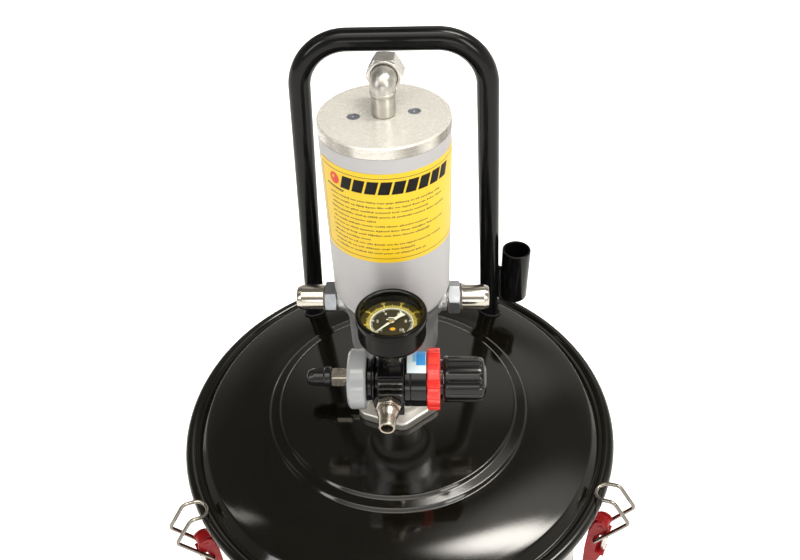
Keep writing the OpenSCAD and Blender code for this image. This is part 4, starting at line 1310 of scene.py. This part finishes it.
# ---------------------------------------------------------------- latches
# each latch is drawn with x pointing outwards from the drum's axis, then turned into place
JOINTS = {joint["name"]: joint for joint in frame["joints"]}
PIVOT_X, PIVOT_Z = 171.0, BEAD_Z - 28       # the lever's pivot
WIRE_X = PIVOT_X - 18 * math.sin(math.radians(6))
WIRE_Z = PIVOT_Z - 18 * math.cos(math.radians(6))


def latch_wire(i, placing):
    """A wire loop from the lever, over the lid's bead."""
    half = 7.5
    knee, crest, hook = (189.0, BEAD_Z - 6), (175.5, BEAD_Z + 11.2), (168.5, BEAD_Z + 8.9)
    tilt = math.atan2(crest[1] - hook[1], crest[0] - hook[0])
    left = [(WIRE_X, 3.95, WIRE_Z), (WIRE_X, half, WIRE_Z)]
    left += [(x, half, z) for x, z in (knee, crest, hook)]
    loop = []
    for k in range(1, 24):
        t = math.pi * k / 24
        loop.append((hook[0] - half * math.sin(t) * math.cos(tilt), half * math.cos(t),
                     hook[1] - half * math.sin(t) * math.sin(tilt)))
    right = [(x, -y, z) for x, y, z in left[::-1]]
    path = fillet(left + loop + right,
                  [0, 1.9, 4.5, 4.5, 0] + [0] * 23 + [0, 4.5, 4.5, 1.9, 0], steps=9)
    bail = "latch_bail_%d" % i
    make("latch_%d_wire" % i, sweep_data(path, 1.4, 20), "zinc_wire", placing=placing,
         body=bail, replaces=bail, crease=60)


def latch_lever(i, placing):
    """A folded channel with two cheeks, and a round rod in it."""
    x, z = PIVOT_X, BEAD_Z
    cheek = arc(x, PIVOT_Z, 5.8, 180, 0, 18)
    cheek += [(x + 5.2, z - 33.5), (x + 0.4, z - 37.4), (x, z - 40)]
    cheek += arc(WIRE_X, WIRE_Z, 3.3, 54, -54, 9)
    cheek += [(x, z - 52), (x, z - 61.2), (x + 5, z - 61.4), (x + 5, z - 63), (x + 2, z - 78),
              (x + 1, z - 100), (x - 6, z - 100), (x - 8, z - 62), (x - 7.4, z - 36)]
    web = [(x - 8, z - 38), (x - 6.4, z - 38), (x - 6.4, z - 62), (x - 4.4, z - 100),
           (x + 4.6, z - 106), (x + 4.6, z - 107.4), (x - 6, z - 101.6), (x - 8, z - 62)]
    parts = [prism_data(cheek, 3.9, 5.5), prism_data(cheek, -5.5, -3.9),
             prism_data(web, -5.5, 5.5),
             box_data((x - 7.5, -5.4, z - 37.4), (x + 6.9, 5.4, z - 35.6)),
             box_data((x - 7.5, -5.4, z - 63), (x + 6.9, 5.4, z - 61.2))]
    lever = "latch_lever_%d" % i
    fused("latch_%d_lever_pressing" % i, parts, "red_paint", voxel=0.33, smooth=2,
          placing=placing, body=lever, replaces=lever)
    rod = fillet([(0, z - 61.3), (2.5, z - 61.3), (2.5, z - 37.3), (0, z - 37.3)],
                 [0, 0.3, 0.3, 0], steps=3)
    lathe("latch_%d_rod" % i, rod, "zinc_plate", seg=48, placing=placing @ shift(x + 4.1, 0),
          body=lever)


def latch_base(i, placing):
    """A curved plate on the drum with a tab for the pivot, and four rivets."""
    n = 16

    def point(side, column, row):
        r = (154.02, 156.0)[side]
        t = math.radians(-4.1 + 8.2 * column / n)
        return r * math.cos(t), r * math.sin(t), (BEAD_Z - 50, BEAD_Z - 17)[row]

    tab = [(154.6, BEAD_Z - 20), (162, BEAD_Z - 22.5)]
    tab += arc(PIVOT_X, PIVOT_Z, 5, 90, -90, 18) + [(154.6, PIVOT_Z - 6)]
    fused("latch_%d_base_plate" % i, [slab_data(n, 1, point), prism_data(tab, -3.5, 3.5)],
          "red_paint", voxel=0.36, smooth=2, placing=placing, replaces="latch_bases")
    dome = [(2.6 * math.cos(t), 155.7 + 1.3 * math.sin(t))
            for t in np.linspace(0, math.pi / 2, 8)][:-1]
    rivet = [(0, 154.6), (1.5, 154.6), (1.5, 155.7)] + dome + [(0, 157.0)]
    for k, (y, drop) in enumerate(((-7.5, 22), (7.5, 22), (-7.5, 46), (7.5, 46))):
        lathe("latch_%d_rivet_%d" % (i, k), rivet, "zinc_plate", seg=32,
              placing=placing @ along("x", (0, y, BEAD_Z - drop)))


def build_latches():
    for i in (1, 2, 3):
        pivot = Vector(JOINTS["latch_lever_%d_swing" % i]["pos_m"])
        placing = Matrix.Rotation(math.atan2(pivot.y, pivot.x), 4, "Z")
        latch_wire(i, placing)
        latch_lever(i, placing)
        latch_base(i, placing)


# ---------------------------------------------------------------- casters
def build_casters():
    half = [(4.05, -14), (7.6, -14), (8, -13.4), (8, -8.4), (18.6, -7.4), (20.4, -10.5),
            (23.4, -10.5), (25, -8.6)]
    radii = [0, 0.3, 0.4, 0.8, 1.4, 1.2, 1.0, 2.2]
    profile = half + [(r, -z) for r, z in half[::-1]]
    tread = fillet(profile, radii + radii[::-1], closed=True, steps=5)
    for i in (1, 2, 3, 4):
        wheel = "caster_wheel_%d" % i
        placing = (Matrix.Rotation(math.radians((i - 1) * 90), 4, "Z")
                   @ along("-y", (168, 0, 25)))
        lathe("caster_%d_tyre" % i, tread, "wheel_nylon", seg=144, closed=True,
              placing=placing, body=wheel, replaces=wheel)


# ---------------------------------------------------------------- nodes kept from the frame
KEPT_NODES = {
    "red_paint": ["latch_pins"],
    "black_enamel_drum": ["caster_lugs"],
    "zinc_plate": ["caster_kingpins", "follower_plate", "reg_spring", "caster_fork_1",
                   "caster_fork_2", "caster_fork_3", "caster_fork_4"],
    "black_rubber": ["lid_gasket", "piston_seal", "follower_wiper"],
    "faced_aluminium": ["top_cap", "air_piston"],
    "ground_steel": ["delivery_tube", "pump_tube", "foot_valve", "plunger_rod", "foot_ball",
                     "reg_spindle"],
    "bronze": ["rod_gland"],
    "reinforced_rubber": ["reg_diaphragm"],
}


def finish_kept_nodes():
    for finish, nodes in KEPT_NODES.items():
        for node in nodes:
            mesh = frame["nodes"][node].data
            mesh.materials.clear()
            mesh.materials.append(MATERIALS[finish])


# ---------------------------------------------------------------- floor, world, lights, camera
def build_floor():
    half = 9.0
    mesh = bpy.data.meshes.new("floor")
    mesh.from_pydata([(-half, -half, 0), (half, -half, 0), (half, half, 0), (-half, half, 0)],
                     [], [[0, 1, 2, 3]])
    floor = bpy.data.objects.new("floor", mesh)
    bpy.context.scene.collection.objects.link(floor)
    paper = bpy.data.materials.new("floor_paper")
    t = Nodes(paper)
    diffuse = t.add("ShaderNodeBsdfDiffuse")
    patches = t.noise(t.coords(), scale=3, detail=2)
    t.link(t.mix(patches, (0.90, 0.90, 0.90), (0.93, 0.93, 0.93)), diffuse.inputs[0])
    # a glow that only the camera sees
    glow = t.add("ShaderNodeEmission")
    seen = t.add("ShaderNodeLightPath").outputs["Is Camera Ray"]
    t.link(t.math("MULTIPLY", seen, 0.55), glow.inputs["Strength"])
    both = t.add("ShaderNodeAddShader")
    t.link(diffuse.outputs[0], both.inputs[0])
    t.link(glow.outputs[0], both.inputs[1])
    t.link(both.outputs[0], t.output.inputs[0])
    mesh.materials.append(paper)


# sky brightness by upward direction: (position, grey level)
SKY = [(0.0, 0.85), (1.0, 0.22), (0.30, 0.62), (0.55, 0.26)]
# soft overhead panels, by direction: centre x, centre y, half size x, half size y, strength
PANELS = [
    (0.38, 0.07, 0.25, 0.078, 27.0),
    (-0.66, 0.15, 0.12, 0.03, 4.0),
    (0.46, 0.16, 0.36, 0.22, 1.7),
    (0.0, -0.52, 0.55, 0.20, 2.2),
    (-0.02, -0.24, 0.50, 0.12, 5.5),
    (0.10, 0.72, 0.38, 0.10, 0.9),
]


def panel_light(t, direction, centre_x, centre_y, half_x, half_y, strength):
    def squared(value, centre, half):
        offset = t.math("DIVIDE", t.math("SUBTRACT", value, centre), half)
        return t.math("POWER", t.math("ABSOLUTE", offset), 2.0)

    x, y, z = direction
    q = t.math("ADD", squared(x, centre_x, half_x), squared(y, centre_y, half_y))
    falloff = t.math("EXPONENT", t.math("MULTIPLY", t.math("MULTIPLY", q, q), -1.0))
    above = t.math("GREATER_THAN", z, 0.0)
    return t.math("MULTIPLY", t.math("MULTIPLY", falloff, above), strength)


def build_world():
    world = bpy.data.worlds.new("studio")
    bpy.context.scene.world = world
    t = Nodes(world, "ShaderNodeOutputWorld")
    generated = t.add("ShaderNodeTexCoord").outputs["Generated"]
    direction = t.split(generated)
    sky = t.add("ShaderNodeValToRGB")
    t.link(t.ramp(direction[2], 0.0, 1.0), sky.inputs[0])
    stops = sky.color_ramp.elements
    for i, (position, grey) in enumerate(SKY):
        stop = stops[i] if i < 2 else stops.new(position)
        stop.position = position
        stop.color = (grey, grey, grey, 1)
    clouds = t.math("MULTIPLY", t.noise(generated, scale=2.3, detail=2), 0.9)
    total = t.math("MULTIPLY", sky.outputs[0], t.math("ADD", clouds, 0.55))
    # brighter towards the right
    tilt = t.math("ADD", t.math("MULTIPLY", direction[0], 0.32), 0.80)
    total = t.math("MULTIPLY", total, tilt)
    for panel in PANELS:
        total = t.math("ADD", total, panel_light(t, direction, *panel))
    background = t.add("ShaderNodeBackground")
    background.inputs[0].default_value = (1.0, 0.965, 0.89, 1)
    t.link(total, background.inputs[1])
    t.link(background.outputs[0], t.output.inputs[0])


# name, location, height of the point aimed at on the z axis, width, height, watts, colour
LIGHTS = [
    ("key_right", (1.5, -1.5, 1.9), 0.55, 0.5, 1.2, 14, (1, 0.98, 0.95)),
    ("key_left", (-1.7, -1.2, 1.8), 0.55, 0.35, 1.2, 9, (0.97, 0.98, 1)),
    ("front", (0.1, -2.8, 1.0), 0.6, 1.6, 0.7, 8.5, (1, 1, 1)),
]


def build_lights():
    for name, location, aim_z, width, height, watts, colour in LIGHTS:
        light = bpy.data.lights.new(name, "AREA")
        light.shape = "RECTANGLE"
        light.size, light.size_y = width, height
        light.energy = watts
        light.color = colour
        obj = bpy.data.objects.new(name, light)
        obj.location = location
        aim = Vector((0, 0, aim_z)) - Vector(location)
        obj.rotation_euler = aim.to_track_quat("-Z", "Y").to_euler()
        bpy.context.scene.collection.objects.link(obj)


def build_camera():
    orbit = Matrix.Rotation(math.radians(3.3), 3, "Z")
    # place in lid radii from the bead's centre, before the orbit turn
    place = orbit @ Vector((0.032, -2.341, 2.885)) * LID_R
    pitch, roll = math.radians(40.91), math.radians(-2.31)
    forward = Vector((0, math.cos(pitch), -math.sin(pitch)))
    right = Vector((1, 0, 0))
    up = Vector((0, math.sin(pitch), math.cos(pitch)))
    rolled_right = right * math.cos(roll) + up * math.sin(roll)
    rolled_up = -right * math.sin(roll) + up * math.cos(roll)
    axes = (orbit @ rolled_right, orbit @ rolled_up, -(orbit @ forward))
    data = bpy.data.cameras.new("cam")
    data.sensor_width = 36
    data.lens = 34.479
    data.clip_start, data.clip_end = 0.01, 50
    camera = bpy.data.objects.new("cam", data)
    bpy.context.scene.collection.objects.link(camera)
    matrix = Matrix.Identity(4)
    for row in range(3):
        for column, axis in enumerate(axes):
            matrix[row][column] = axis[row]
        matrix[row][3] = (place[row] + (BEAD_Z if row == 2 else 0)) * MM
    camera.matrix_world = matrix
    bpy.context.scene.camera = camera


# ---------------------------------------------------------------- build, in order
for build in (build_lid, build_drum, build_handle, build_gun_holder, build_flange, build_neck,
              build_bleed_fitting, build_air_base, build_ports, build_sleeve, build_label_film,
              build_label_print, build_small_print, build_outlet, build_regulator_body,
              build_ring_nut, build_knob, build_bonnet_sticker, build_air_inlet,
              build_gauge_case, build_dial, build_needle, build_window, build_cap_plugs,
              build_latches, build_casters, finish_kept_nodes, build_floor, build_world,
              build_lights, build_camera):
    build()
bpy.context.scene.view_settings.view_transform = "Standard"
